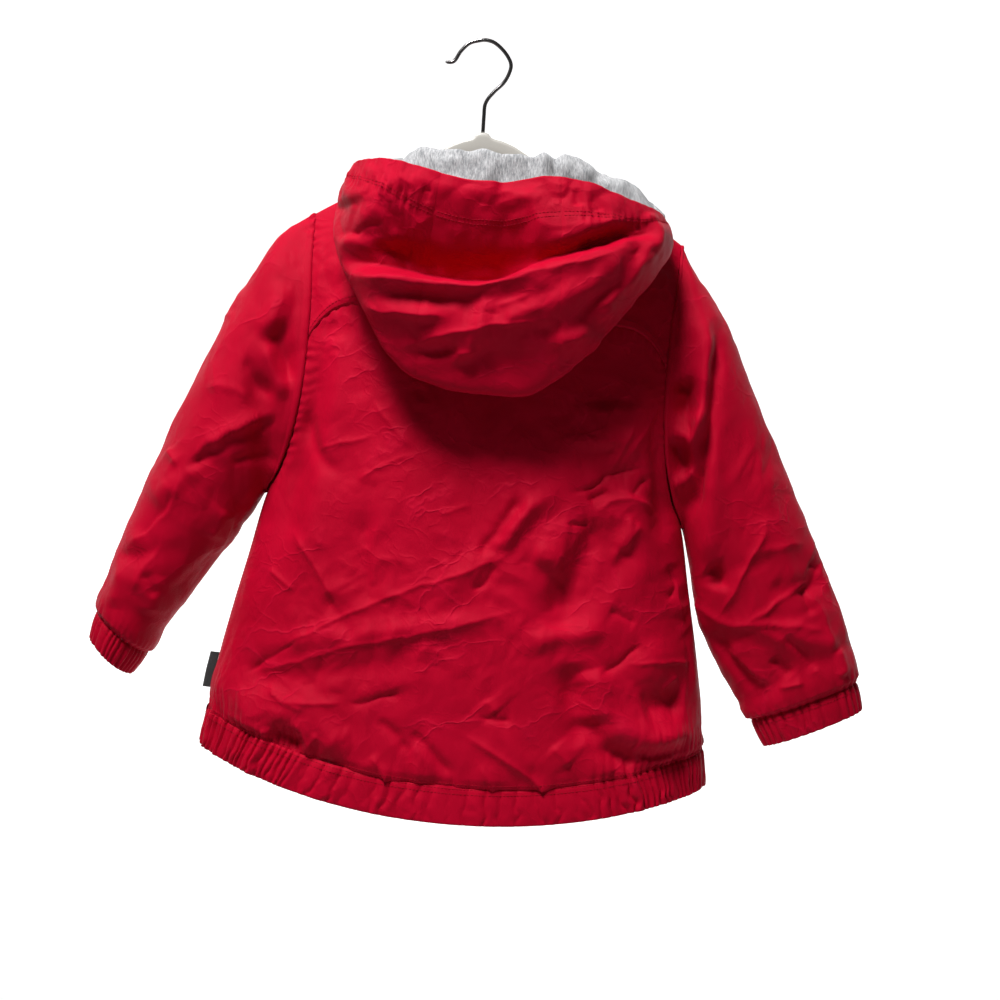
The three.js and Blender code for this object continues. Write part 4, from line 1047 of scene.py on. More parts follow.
@dataclass(frozen=True)
class NylonFinish:
    """Crimson nylon taffeta with a soft sheen, the fine crinkles of wear, and a painted highlight along its large
    crease lines.

    A row of nets gives the last five arguments of creases, for the large net and then for the small one.
    """

    colour: Colour = (0.50, 0.0010, 0.022)
    # painted highlight: the lighter, pinker red laid along the large crease lines
    creased: Colour = (0.60, 0.004, 0.036)
    deep: Colour = (0.42, 0.0008, 0.017)
    roughness: float = 0.52
    sheen: float = 0.03
    weave_pitch: float = 0.00052
    bend: float = 0.035
    drawn_out: float = 3.2
    nets: tuple[tuple[float, ...], ...] = ((0.42, 36, 0.04, 17, 0.47), (-0.6, 80, 0.07, 27, 0.48))

    def material(self) -> bpy.types.Material:
        """Builds the material."""
        bench = Bench("nylon_taffeta", self.colour, self.roughness, {
            "Sheen Weight": self.sheen, "Sheen Roughness": 0.4, "Sheen Tint": (1.0, 0.3, 0.4, 1),
            "IOR": 1.2, "Specular Tint": (1.0, 0.4, 0.5, 1)})
        space, cloth = bench.place(False), bench.place(True)
        clouds, fine = bench.noise(space, 14, 3, 0.6), bench.noise(space, 160, 4, 0.7)
        tone = bench.blend(bench.range(clouds * 0.75 + fine * 0.25, 0.3, 0.7), self.deep, self.colour)
        warp = bench.noise(space, 22, 3, 0.6, output=1)
        bent = bench.node("ShaderNodeMix", {"data_type": "VECTOR"}, {0: self.bend, 4: space, 5: warp}, 1)
        large, small = (self.creases(bench, space, bent, *net) for net in self.nets)
        # painted highlight: the base colour turns towards the lighter, pinker red along the large crease lines
        bench.into("Base Color", bench.blend(large * 0.3, tone, self.creased))
        bench.into("Roughness", bench.range(fine, 0.3, 0.75, self.roughness - 0.05, self.roughness + 0.09))
        weave = bench.weave(cloth, self.weave_pitch)
        bench.bump(large * 1.0 + small * 0.5 + fine * 0.25 + weave * 0.06, 0.0005, 0.9)
        return bench.material

    def creases(self, bench: Bench, space: Signal, bent: Signal, turn: float, scale: float, width: float,
                patches: float, bare: float) -> Signal:
        """A net of crisp crease lines that fall away to both sides.

        Args:
            bench: the material's bench.
            space: the place of a point.
            bent: the same, a little out of place, so that the lines aren't straight.
            turn: how steeply the lines that the net is drawn out along rise.
            scale: meshes to the metre across them.
            width: width of a line, as a share of a mesh.
            patches: patches of lines to the metre.
            bare: value of the patches' noise where the cloth is bare.

        Returns:
            The height of the lines.
        """
        place = bench.node("ShaderNodeMapping", {"vector_type": "TEXTURE"},
                           {"Vector": bent, "Rotation": (0, -turn, 0), "Scale": (self.drawn_out, 1, 1)})
        edge = bench.node("ShaderNodeTexVoronoi", {"feature": "DISTANCE_TO_EDGE"},
                          {"Vector": place, "Scale": scale, "Randomness": 1.0})
        lines = bench.range(edge, 0.0, width * 3, 1.0, 0.0) * 0.5 + bench.range(edge, 0.0, width, 0.5, 0.0)
        return lines * bench.range(bench.noise(space, patches), bare, 0.62)


@dataclass(frozen=True)
class JerseyFinish:
    """Grey marl jersey: pale and dark fibres, with the fine ribs of its stitches."""

    light: Colour = (0.60, 0.60, 0.61)
    dark: Colour = (0.22, 0.225, 0.235)
    rib_pitch: float = 0.0011

    def material(self) -> bpy.types.Material:
        """Builds the material."""
        bench = Bench("marl_jersey", self.light, 0.95, {"Sheen Weight": 0.35, "Sheen Roughness": 0.6})
        cloth = bench.place(True)
        flecks = bench.noise(cloth, 900, 4, 0.75, (1, 0.22, 1))
        patches = bench.noise(cloth, 120, 3, 0.6, (1, 0.5, 1))
        share = bench.range(flecks * 0.7 + patches * 0.3, 0.42, 0.62)
        bench.into("Base Color", bench.blend(share, self.dark, self.light))
        across = bench.node("ShaderNodeSeparateXYZ", {}, {0: cloth}, 0)
        ribs = (across * (2 * math.pi / self.rib_pitch)).sine()
        bench.bump(ribs * 0.5 + flecks * 1.0, 0.0003, 0.7)
        return bench.material


@dataclass(frozen=True)
class WovenFinish:
    """A dense woven tape or label of one colour."""

    name: str
    colour: Colour
    pitch: float = 0.0007
    roughness: float = 0.75
    shade: float = 0.6

    def material(self) -> bpy.types.Material:
        """Builds the material."""
        bench = Bench(self.name, self.colour, self.roughness, {"Sheen Weight": 0.2})
        cloth = bench.place(True)
        weave = bench.weave(cloth, self.pitch)
        shade = tuple(self.shade * part for part in self.colour)
        share = bench.range(weave + bench.noise(cloth, 600) * 0.6, -0.6, 1.0)
        bench.into("Base Color", bench.blend(share, shade, self.colour))
        bench.bump(weave * 1.0, 0.00018, 0.8)
        return bench.material


@dataclass(frozen=True)
class ThreadFinish:
    """Twisted sewing thread in the cloth's red."""

    colour: Colour = (0.42, 0.003, 0.02)
    deep: Colour = (0.3, 0.002, 0.014)

    def material(self) -> bpy.types.Material:
        """Builds the material."""
        bench = Bench("sewing_thread", self.colour, 0.75, {"Specular IOR Level": 0.1})
        twist = bench.noise(bench.place(False), 1800)
        bench.into("Base Color", bench.blend(twist, self.deep, self.colour))
        bench.bump(twist * 1.0, 0.0001, 0.6)
        return bench.material


@dataclass(frozen=True)
class HardFinish:
    """Moulded plastic, enamel or polished wire, with the faint marks of handling."""

    name: str
    colour: Colour
    roughness: float
    metallic: float = 0.0
    coat: float = 0.0
    wear: float = 0.3
    grain: float = 0.00003

    def material(self) -> bpy.types.Material:
        """Builds the material."""
        bench = Bench(self.name, self.colour, self.roughness, {
            "Metallic": self.metallic, "Coat Weight": self.coat, "Coat Roughness": 0.15})
        space = bench.place(False)
        clouds = bench.noise(space, 45, 3, 0.6)
        marks = bench.noise(space, 700, 3, 0.7, (1, 1, 0.2))
        darker = tuple(part * (1 - 0.25 * self.wear) for part in self.colour)
        bench.into("Base Color", bench.blend(clouds, darker, self.colour))
        bench.into("Roughness", bench.range(clouds * 0.5 + marks * 0.5, 0.3, 0.7,
                                            max(self.roughness - 0.06, 0.04), self.roughness + 0.12 * self.wear))
        bench.bump(marks * 1.0, self.grain, 0.5)
        return bench.material


class Finishes:
    """Every finish of the part, each made once."""

    def __init__(self) -> None:
        """Builds the materials."""
        self.nylon = NylonFinish().material()
        self.jersey = JerseyFinish().material()
        self.tape = WovenFinish("zip_tape", (0.30, 0.003, 0.014)).material()
        self.label = WovenFinish("label_weave", (0.012, 0.012, 0.013), 0.0005).material()
        self.thread = ThreadFinish().material()
        self.teeth = HardFinish("zip_teeth", (0.26, 0.003, 0.013), 0.38, grain=0.00001).material()
        self.enamel = HardFinish("slider_enamel", (0.26, 0.003, 0.013), 0.3, 0.2, 0.4).material()
        self.plastic = HardFinish("hanger_plastic", (0.46, 0.44, 0.40), 0.42, coat=0.15).material()
        self.wire = HardFinish("hook_wire", (0.23, 0.22, 0.22), 0.2, 1.0, wear=0.5).material()


# ---- what the pieces share


FRAME = JacketFrame()
BODY = BodyForm()
HOOD = HoodForm()
CRINKLE = Crinkle()
RIPPLE = Noise(5)


def ripple(x: Array | float, y: Array | float = 0.0, z: Array | float = 0.0) -> Array:
    """The shared noise at places given by their coordinates."""
    return RIPPLE(joined(x, y, z))


def pucker(way: Array, points: Array, apart: float) -> Array:
    """Small uneven ripples of the cloth beside a sewn seam.

    Args:
        way: how far along the seam each point is.
        points: the points of the cloth.
        apart: a number that sets these ripples apart from others.

    Returns:
        Their height, from about -1 to 1.
    """
    uneven = np.maximum(0.1, 0.5 + 1.3 * RIPPLE(points / 27 + apart))
    return np.sin(way * 0.8 + 3.5 * RIPPLE(points / 14)) * uneven


def gather(phase: Array, drift: Array | float = 0.0, unevenness: float = 0.9) -> Array:
    """The wave of gathered cloth: round ridges from 0 to 1 between sharp valleys."""
    moved = phase + drift
    ridge = np.abs(np.sin(math.pi * moved)) ** 0.75
    uneven = 0.8 + unevenness * ripple(moved * 0.63, 3.1)
    return ridge * np.clip(uneven, 0.15, 1.3)


class Gathers:
    """Where the waves of the gathered hem stand, shared by the band and the panels above it."""

    def __init__(self, body: BodyForm, side_from: float = 112, side_wave: float = 5.2,
                 middle_wave: float = 13, fan: float = 0.036) -> None:
        """Counts the waves round the hem.

        Args:
            body: the body's form.
            side_from: distance from the middle beyond which the elastic gathers closely.
            side_wave: length of a wave there, in millimetres.
            middle_wave: length of a wave elsewhere.
            fan: how far the waves lean outward down the band, in quarters of the hem.
        """
        self.fan = fan
        self.around = spaced(3000, 0, 4)
        line = body.band(self.around, np.full_like(self.around, 0.3))
        close = smooth(np.abs(line[:, 0]), side_from - 14, side_from + 14)
        uneven = 1 + 0.9 * ripple(self.around[1:] * 23, 0.4)
        steps = np.diff(runs(line)) / mix(middle_wave, side_wave, close[1:]) * np.maximum(uneven, 0.3)
        self.phase = np.pad(np.cumsum(steps), (1, 0))
        self.closeness = close
        self.body = body

    def at(self, around: Array, down_band: Array | float = 0.0) -> tuple[Array, Array]:
        """The wave count at places round the hem, and how closely it is gathered there."""
        around = around - self.fan * down_band * np.sin(around * math.pi)
        return (np.interp(around, self.around, self.phase),
                np.interp(around, self.around, self.closeness))

    def of_panel(self, panel: Panel, x: Array) -> tuple[Array, Array]:
        """The same for places across the back or the fronts."""
        half = float(self.body.half(self.body.cut.hem_side))
        if panel is Panel.BACK:
            return self.at(1 + np.arccos(np.clip(x / half, -1, 1)) * 2 / math.pi)
        across = np.clip((np.abs(x) - self.body.cut.zip_half) / (half - self.body.cut.zip_half), 0, 1)
        turn = np.arcsin(across) * 2 / math.pi
        return self.at(np.where(x > 0, turn, 4 - turn))


class Seamstress:
    """Dresses pieces of cloth in the scene and collects the stitches that hold them."""

    LEAST_FILL = 0.31  # share of its rectangle that a piece's cut fills at least
    MOST_FILL = 0.999

    def __init__(self, finishes: Finishes) -> None:
        """Starts with no stitches."""
        self.finishes = finishes
        self.runs: list[tuple[Array, Array]] = []

    def cloth(self, name: str, grid: ClothGrid, nodes: tuple[str, ...], slot: str,
              material: bpy.types.Material, cut: ClothGrid | None = None, ease: float = 1.04) -> None:
        """Args:
            name: the piece's name.
            grid: its points.
            nodes: the CAD nodes that it stands for.
            slot: the slot of its finish, which is not used.
            material: its finish.
            cut: the smooth sheet that its flat size is worked out from, or none for the grid's own.
            ease: how much longer the cloth is than its smooth sheet, for folds and gathers.
        """
        made = new_object(name, FRAME.world(grid.points), grid.faces(), material, grid.flat())
        cut = cut or grid
        flat = cut.flat()
        width = float(np.ptp(flat[..., 0], axis=1).max()) * ease
        length = float(np.ptp(flat[..., 1], axis=0).max())
        area = np.clip(cut.area() * ease, self.LEAST_FILL * width * length, self.MOST_FILL * width * length)
        self.dress(made, slot, nodes)
        log.info("%s: %d faces, cut %.0f by %.0f mm, %.4f m2", name, len(made.data.polygons),
                 width / MM, length / MM, area)

    def shell(self, node: str, grid: ClothGrid, cut: ClothGrid, ease: float = 1.04) -> None:
        """Makes a piece of the nylon shell from the node's name, its points, its smooth sheet and its ease."""
        self.cloth(f"cloth_{node}", grid, (node,), "shell", self.finishes.nylon, cut, ease)

    @staticmethod
    def dress(made: bpy.types.Object, slot: str, nodes: tuple[str, ...] = ()) -> None:
        """Sets what a piece rides on, and hides the nodes that it stands for."""
        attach(made, BODY_NAME)
        if nodes:
            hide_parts(*nodes)

    def sew(self, line: tuple[Array, Array], lift: float = 0.1) -> None:
        """Keeps a line of points and normals for stitching."""
        points, normals = line
        self.runs.append((points + normals * lift, normals))

    def stitch(self, pitch: float = 2.7, length: float = 2.1, width: float = 0.46, rise: float = 0.3,
               half_chord: float = 0.4) -> None:
        """Makes every stitch as one joined mesh of small rounded bars.

        Args:
            pitch: distance from stitch to stitch.
            length: length of a bar.
            width: its width.
            rise: how far it stands above the cloth, and reaches under it.
            half_chord: how far to both sides of its middle the seam's direction is taken.
        """
        template = np.array([(at * length / 2, side * width / 2 * thin, up * rise * thin - sunk)
                             for at, thin, sunk in ((-1, 0.45, 0.12), (-0.5, 1, 0), (0.5, 1, 0), (1, 0.45, 0.12))
                             for side, up in ((-1, 0), (0, 1), (1, 0), (0, -1))])
        bars = []
        for points, normals in self.runs:
            way = runs(points)
            marks = np.arange(pitch, way[-1] - pitch / 2, pitch)
            if not len(marks):
                continue
            before, centre, after, normal = (
                np.stack([np.interp(at, way, values[:, k]) for k in range(3)], -1)
                for values, at in ((points, marks - half_chord), (points, marks), (points, marks + half_chord),
                                   (normals, marks)))
            along = unit(after - before)
            axes = np.stack([along, np.cross(normal, along), normal], 1)
            bars.append(centre[:, None, :] + np.einsum("ik,nkj->nij", template, axes))
        corners = np.concatenate(bars)
        faces = np.array(tube_faces(4, 4))
        numbers = (np.arange(len(corners))[:, None, None] * len(template) + faces[None]).reshape(-1, 4)
        made = new_object("topstitching", FRAME.world(corners.reshape(-1, 3)), numbers, self.finishes.thread)
        self.dress(made, "shell")
        log.info("topstitching: %d stitches", len(corners))


# ---- sub-assemblies


@dataclass
class BodyCloth:
    """Yoke, back panel and the two fronts."""

    seamstress: Seamstress
    gathers: Gathers
    back_columns: int = 310
    back_rows: int = 250
    yoke_rows: int = 64
    front_columns: int = 110
    front_rows: int = 250
    seam_fade: float = 6.0
    pucker_height: float = 0.6
    pucker_end: tuple[float, float] = (330, 356)
    hem_stitch: float = 1 - 1.6 / 330
    yoke_stitches: tuple[float, float] = (1.8, 5.8)
    zip_stitches: tuple[float, float] = (0.012, 0.042)
    rows_under_hood: int = 12

    def hem_pull(self, panel: Panel, x: Array, down: Array) -> Array:
        """The waves and the blousing of a panel just above the gathered band."""
        phase, close = self.gathers.of_panel(panel, x)
        above = np.maximum(BODY.hem_top(panel, x) - down, 0)
        wander = 0.35 * ripple(x / 18, down / 18)
        reach = mix(9, 15, close) * (1 + 0.6 * ripple(phase * 0.9, 7))
        waves = (gather(phase, wander * above / 12) - 0.6) * mix(1.6, 2.9, close) * np.exp(-above / reach)
        fill = np.clip(0.6 + 1.6 * ripple(x / 34, 2.2, down / 60), 0.05, 1.5)
        return waves + mix(1.6, 4.0, close) * fill * plateau(above, (0, 7), (12, 46))

    def wear(self, points: Array, bends: tuple, broad: tuple) -> Array:
        """The folds, creases and crinkles of a panel, which fade beside its side seams."""
        x, down = points[..., 0], -points[..., 2]
        room = np.maximum(BODY.half(down) - np.abs(x), 0)
        stray = 1.6 * RIPPLE(points / 13)
        height = height_of(broad, x, down) * smooth(room, 0, 14)
        height += height_of(bends, x + stray, down + stray * 0.7) * smooth(room, 0, 9)
        return height + CRINKLE.height(points) * 0.8 * smooth(room, 0, self.seam_fade)

    def armhole_puckers(self, points: Array) -> Array:
        """The small ripples that a sewn armhole draws into a panel."""
        down = -points[..., 2]
        room = np.maximum(BODY.half(down) - np.abs(points[..., 0]), 0)
        small = self.pucker_height * pucker(down, points, 9)
        return small * np.exp(-room / self.seam_fade) * (1 - smooth(down, *self.pucker_end))

    def build(self) -> None:
        """Makes the four panels."""
        even = spaced(self.back_columns, -1, 1)
        u = mix(even, np.sin(math.pi / 2 * even), 0.55)
        self.yoke(u)
        self.back(u)
        for side in Side:
            self.front(side)

    def yoke(self, u: Array) -> None:
        """Makes the yoke, which stands up a little where its seam is turned in."""
        rows = spaced(self.yoke_rows)
        v = (rows * (0.3 + 0.7 * rows) * 0.9986)[:, None]
        grid = ClothGrid(BODY.yoke(u, v), -1)
        height = self.wear(grid.points, BACK_CREASES, BACK_FOLDS) * smooth(v, 0.1, 0.6)
        height += self.armhole_puckers(grid.points) * smooth(v, 0.02, 0.2)
        above = BODY.yoke_seam(grid.points[..., 0]) + grid.points[..., 2]
        height += 0.5 * plateau(above, (0, 0.8), (7, 9))
        creased = grid.moved(height)
        self.seamstress.shell("back_yoke", creased.tucked(Edge.BOTTOM, 0.5, 0.5), grid)
        for away in self.yoke_stitches:
            self.seamstress.sew(self.beside_yoke_seam(creased, away))

    def back(self, u: Array) -> None:
        """Makes the back panel, sunk along the yoke seam."""
        v = 0.0014 + spaced(self.back_rows)[:, None] * 0.998
        grid = ClothGrid(BODY.back(u, v), -1)
        x, down = grid.points[..., 0], -grid.points[..., 2]
        height = self.wear(grid.points, BACK_CREASES, BACK_FOLDS)
        height += self.armhole_puckers(grid.points) + self.hem_pull(Panel.BACK, x, down)
        below = np.maximum(down - BODY.yoke_seam(x), 0)
        height += 0.5 * np.sin(x * 0.9) * np.exp(-below / 5) - 0.4 * np.exp(-below / 3)
        creased = grid.moved(height)
        self.seamstress.shell("back_panel", creased.tucked(Edge.TOP, 2.6, 1.2).tucked(Edge.BOTTOM, 2.6, 1.4), grid)
        self.seamstress.sew(creased.line(self.hem_stitch))

    def front(self, side: Side) -> None:
        """Makes one front, which stays flat beside the zip."""
        even, rows = spaced(self.front_columns), spaced(self.front_rows)
        u = mix(even, np.sin(math.pi / 2 * even), 0.6)
        v = (rows * (0.45 + 0.55 * rows) * 0.9995)[:, None]
        grid = ClothGrid(BODY.front(side, u, v), side.value)
        x, down = grid.points[..., 0], -grid.points[..., 2]
        zip_half = BODY.cut.zip_half
        away, from_zip = np.abs(x), np.abs(x) - zip_half
        height = self.wear(grid.points, FRONT_CREASES, FRONT_FOLDS)
        height *= mix(0.12, 1, smooth(away, zip_half, 30)) * smooth(v, 0.04, 0.2)
        height += self.armhole_puckers(grid.points) * smooth(v, 0.02, 0.1)
        height += self.hem_pull(Panel.FRONT, x, down) * smooth(away, zip_half, 16)
        height += 0.5 * plateau(from_zip, (0, 1), (6, 8))
        wave = np.sin(down * 0.8 + RIPPLE(grid.points / 9))
        height += 0.35 * wave * np.exp(-from_zip / 5) * smooth(from_zip, 0, 2)
        creased = grid.moved(height)
        self.seamstress.shell(f"front_{side.name.lower()}",
                              creased.tucked(Edge.BOTTOM, 2.6, 1.4).tucked(Edge.END, 1.6, 0.9), grid)
        for share in self.zip_stitches:
            self.seamstress.sew(tuple(values[self.rows_under_hood:] for values in creased.line(share, 1)))

    @staticmethod
    def beside_yoke_seam(creased: ClothGrid, away: float) -> tuple[Array, Array]:
        """Points and normals on the yoke at a distance above its seam."""
        points, normals = creased.points, creased.normals()
        above = BODY.yoke_seam(points[..., 0]) + points[..., 2]
        row = np.argmin(np.abs(above - away), axis=0)
        columns = np.arange(points.shape[1])
        line = points[row, columns]
        line[:, 2] += away - above[row, columns]
        return line, normals[row, columns]


@dataclass
class Sleeve:
    """One sleeve and its gathered cuff."""

    side: Side
    seamstress: Seamstress
    around: int = 150
    rows: int = 230
    cuff_around: int = 216
    cuff_rows: int = 18
    cuff_depth: float = 1.1
    cuff_reel: float = 20.0
    length: float = 330
    gathers: int = 30
    gather_height: float = 2.5
    unevenness: float = 0.4
    cuff_stitches: tuple[float, float] = (1.8, 4.0)

    def phase(self, turn: Array) -> Array:
        """The wave count round the wrist."""
        return turn / (2 * math.pi) * self.gathers + 0.35 * np.sin(3 * turn) + 0.25 * np.sin(7 * turn + 1)

    def wear(self, points: Array, turn: Array, share: Array) -> Array:
        """The folds, creases and crinkles of the sleeve, which fade at both its ends."""
        x, down = points[..., 0], -points[..., 2]
        stray = 1.6 * RIPPLE(points / 13)
        room = np.minimum(share, 1 - share)
        ends, behind = smooth(room, 0, 0.1), smooth(np.sin(turn), -0.2, 0.25)
        near = LEFT_SLEEVE_CREASES if self.side is Side.LEFT else RIGHT_SLEEVE_CREASES
        height = height_of(SLEEVE_FOLDS, x, down) * ends
        height += height_of(near, x + stray, down + stray * 0.7) * behind * smooth(share, 0, 0.06)
        height += height_of(FAR_SLEEVE_CREASES, x + stray, down) * (1 - behind) * ends
        return height + CRINKLE.height(points + 40) * 0.6 * smooth(room, 0, 0.05)

    def build(self) -> None:
        """Makes the sleeve and the cuff."""
        form = SleeveForm(self.side)
        turn, share = spaced(self.around, 0, 2 * math.pi)[:-1], spaced(self.rows)[:, None]
        grid = ClothGrid(form.sleeve(turn, share[:, 0]), self.side.value, ring=True)
        height = self.wear(grid.points, turn, share)
        below, above = share * self.length, (1 - share) * self.length
        small = pucker(runs(form.body.armhole(self.side, turn)), grid.points, 3)
        height += 0.8 * small * np.exp(-below / 7) * smooth(below, 0, 1) + 0.7 * plateau(below, (0, 2), (5, 9))
        drift = 0.3 * RIPPLE(grid.points / 14) * above / 12
        reach = 9 * (1 + 0.5 * ripple(np.cos(turn) * 4, np.sin(turn) * 4))
        wave = gather(self.phase(turn), drift, self.unevenness) - 0.6
        height += wave * self.gather_height * np.exp(-above / reach) + 3.0 * plateau(above, (0, 6), (12, 40))
        creased = grid.moved(height)
        self.seamstress.shell(f"sleeve_{self.side.name.lower()}",
                              creased.tucked(Edge.TOP, 2.4, 1.3).tucked(Edge.BOTTOM, 2.4, 1.2), grid)
        self.cuff(form)

    def cuff(self, form: SleeveForm) -> None:
        """Makes the cuff as one cloth that turns in at its mouth."""
        turn, outer = spaced(self.cuff_around, 0, 2 * math.pi)[:-1], spaced(self.cuff_rows)
        v, sunk = turned_under(outer, spaced(12, 1, 0.05), self.cuff_depth, self.cuff_reel)
        grid = ClothGrid(form.cuff(turn, v), self.side.value, ring=True)
        normals = ClothGrid(form.cuff(turn, outer), self.side.value, ring=True).normals()[self.cuff_rows // 2]
        inside = np.clip(v, 0, 1)
        wave = gather(self.phase(turn), 0.22 * RIPPLE(grid.points / 9) * inside[:, None], self.unevenness) - 0.55
        full = np.where(np.arange(len(v)) < len(outer) + 3, 1.0, 0.55)[:, None]
        swell = 0.7 * np.sin(math.pi * inside) - 0.9 * np.exp(-(v / 0.06) ** 2) - sunk
        creased = grid.moved(wave * self.gather_height * full + swell[:, None], normals)
        self.seamstress.shell(f"cuff_{self.side.name.lower()}", creased, grid, 1.25)
        for row in self.cuff_stitches:
            line = creased.line(row / (len(v) - 1))
            self.seamstress.sew(tuple(np.concatenate([values, values[:1]]) for values in line))


@dataclass
class HemBand:
    """The elastic band round the hem, folded under along its lower edge."""

    seamstress: Seamstress
    gathers: Gathers
    columns: int = 1500
    rows: int = 20
    lap: float = -0.03
    depth: float = 1.2
    flat_share: float = 0.25
    stitches: tuple[float, float] = (1.6, 4.2)

    def build(self) -> None:
        """Makes the band as one folded cloth."""
        around, outer = spaced(self.columns, 0, 4), spaced(self.rows, self.lap)
        v, sunk = turned_under(outer, spaced(6, 1, 0.06), self.depth, BODY.cut.band)
        v, sunk = v[:, None], sunk[:, None]
        grid = ClothGrid(BODY.band(around, v), 1)
        points, inside = grid.points, np.clip(v, 0, 1)
        normals = ClothGrid(BODY.band(around, outer[:, None]), 1).normals()[self.rows // 2]
        phase, close = self.gathers.at(around + 0 * v, inside)
        wave = gather(phase, (0.5 * RIPPLE(points / 9) + 0.5 * RIPPLE(points / 22 + 4)) * inside) - 0.55
        full = np.where(np.arange(len(v)) < len(outer) + 3, 1.0, 0.5)[:, None]
        height = wave * mix(1.7, 3.0, close) * full + CRINKLE.height(points) * 0.6 * full
        height += 0.6 * np.sin(math.pi * inside) - 1.3 * np.exp(-((v - self.lap) / 0.05) ** 2) - sunk
        free = mix(self.flat_share, 1, smooth(np.abs(points[..., 0]), BODY.cut.zip_half, 14))
        creased = grid.moved(height * free - (1 - free) * sunk * 0.75, normals)
        self.seamstress.shell("hem_band", creased, grid, 1.2)
        for row in self.stitches:
            self.seamstress.sew(creased.line(row / (len(v) - 1)))


@dataclass
class Hood:
    """The hood's three panels, with the face edge turned in, and its jersey lining."""

    seamstress: Seamstress
    columns: int = 150
    middle_columns: int = 48
    rows: int = 250
    roll_steps: int = 8
    sink: float = 1.1
    turned_in: float = 0.872
    shell_out: float = 0.9
    lining_in: float = 2.2
    gather_wave: float = 5.4
    gathered: tuple[float, float] = (0.2, 0.44)

    @staticmethod
    def sheet(u: Array, v: Array, soft: float = 0.06, step: float = 0.004) -> Array:
        """The hood's skin, with the bend at its middle rounded.

        Args:
            u: places from the left front (-1) over mid back to the right front (1).
            v: places from the neck seam (0) to the face edge (1).
            soft: how far to both sides of the middle the bend is rounded.
            step: how far to both sides of it the bend is read.

        Returns:
            Rows of points.
        """
        near = HOOD.sheet(np.array([-step, 0.0, step]), v)
        bend = (near[:, 2] + near[:, 0] - 2 * near[:, 1]) / (2 * step)
        rounding = np.sqrt(u ** 2 + soft ** 2) - np.abs(u)
        return HOOD.sheet(u, v) + bend[:, None, :] * rounding[None, :, None]

    @staticmethod
    def wear(points: Array, share: Array) -> Array:
        """The folds and creases outside the pouch, and the crinkles, which shell and lining share."""
        x, down = points[..., 0], -points[..., 2]
        stray = 1.3 * RIPPLE(points / 14)
        bends = height_of(HOOD_CREASES, x + stray, down + stray) + height_of(HOOD_FOLDS, x, down) * 0.45
        bends *= smooth(share, 0.46, 0.57) * (1 - 0.8 * smooth(share, 0.9, 1))
        return bends + CRINKLE.height(points * 1.15 + 80) * 0.9 * smooth(share, 0.0, 0.1)

    def rim_gathers(self, u: Array, v: Array, points: Array, strength: float) -> Array:
        """The gathers beside the drawn face edge, and the line where it is sewn."""
        low, high = self.gathered
        drawn = plateau(np.abs(u), (low - 0.04, low + 0.02), (high - 0.02, high + 0.05))
        rim = runs(HOOD.sheet(u, np.array([0.95]))[0])
        wave = gather(rim / self.gather_wave, 0.3 * RIPPLE(points / 9)) - 0.55
        sewn = np.exp(-((v - self.turned_in) / 0.04) ** 2)
        return wave * drawn * (2.2 * sewn + 0.5 * smooth(v, 0.9, 1)) * strength - 0.5 * sewn

    def panel(self, name: str, u: Array, inner: Edge | None = None, strength: float = 1.0) -> None:
        """Makes one panel of the shell.

        Args:
            name: its node.
            u: places of its columns.
            inner: its edge beside the middle panel, which is lapped, if it has one.
            strength: how strongly its face edge is gathered.
        """
        even = spaced(self.rows)
        share, sunk = turned_under(mix(even, even ** 0.8, 0.5), spaced(20, 1, self.turned_in), self.sink,
                                   steps=self.roll_steps)
        grid, v = ClothGrid(self.sheet(u, share), 1), share[:, None]
        row = np.clip(np.round(share * self.rows).astype(int), 0, self.rows - 1)
        normals = ClothGrid(self.sheet(u, even), 1).normals()[row]
        height = self.wear(grid.points, v) + self.rim_gathers(u, v, grid.points, strength)
        from_seam = np.abs(np.abs(u) - HOOD.split) * 230
        height += self.shell_out - sunk[:, None] - 0.4 * np.exp(-((from_seam / 1.6) ** 2))
        creased = grid.moved(height, normals)
        edge = self.rows + 1
        rolled = np.sin(spaced(self.roll_steps, 0, math.pi)[1:-1])
        outward = unit(grid.points[edge - 1] - grid.points[edge - 6])
        creased.points[edge:edge + len(rolled)] += rolled[:, None, None] * self.sink * outward
        self.seamstress.shell(name, creased.tucked(inner, 1.6, 0.8) if inner else creased,
                              ClothGrid(self.sheet(u, spaced(60)), 1))
        for place in (self.turned_in - 0.008, self.turned_in + 0.006):
            at = float(np.interp(place, share[:edge], np.arange(edge)))
            self.seamstress.sew(creased.line(at / (len(share) - 1)))

    def build(self) -> None:
        """Makes the shell's panels and the lining."""
        side = mix(HOOD.split, 1.0, spaced(self.columns) ** 1.15)
        self.panel("hood_left", -side[::-1], Edge.END, 1.3)
        self.panel("hood_centre", spaced(self.middle_columns, -HOOD.split, HOOD.split))
        self.panel("hood_right", side, Edge.START, 0.8)
        u, v = spaced(240, -0.995, 0.995), spaced(130, 0, self.turned_in + 0.012)
        grid, share = ClothGrid(self.sheet(u, v), 1), v[:, None]
        points = grid.points
        slack = 9.0 * np.abs(RIPPLE(points / np.array([23, 60, 46]) + 2)) - 1.2 + 2.0 * RIPPLE(points / 12)
        height = self.wear(points, share) - self.lining_in
        height -= np.maximum(slack, -0.6) * plateau(share, (0.02, 0.12), (0.3, 0.42))
        self.seamstress.cloth("cloth_hood_lining", grid.moved(height), ("hood_lining",), "jersey",
                              self.seamstress.finishes.jersey, grid)


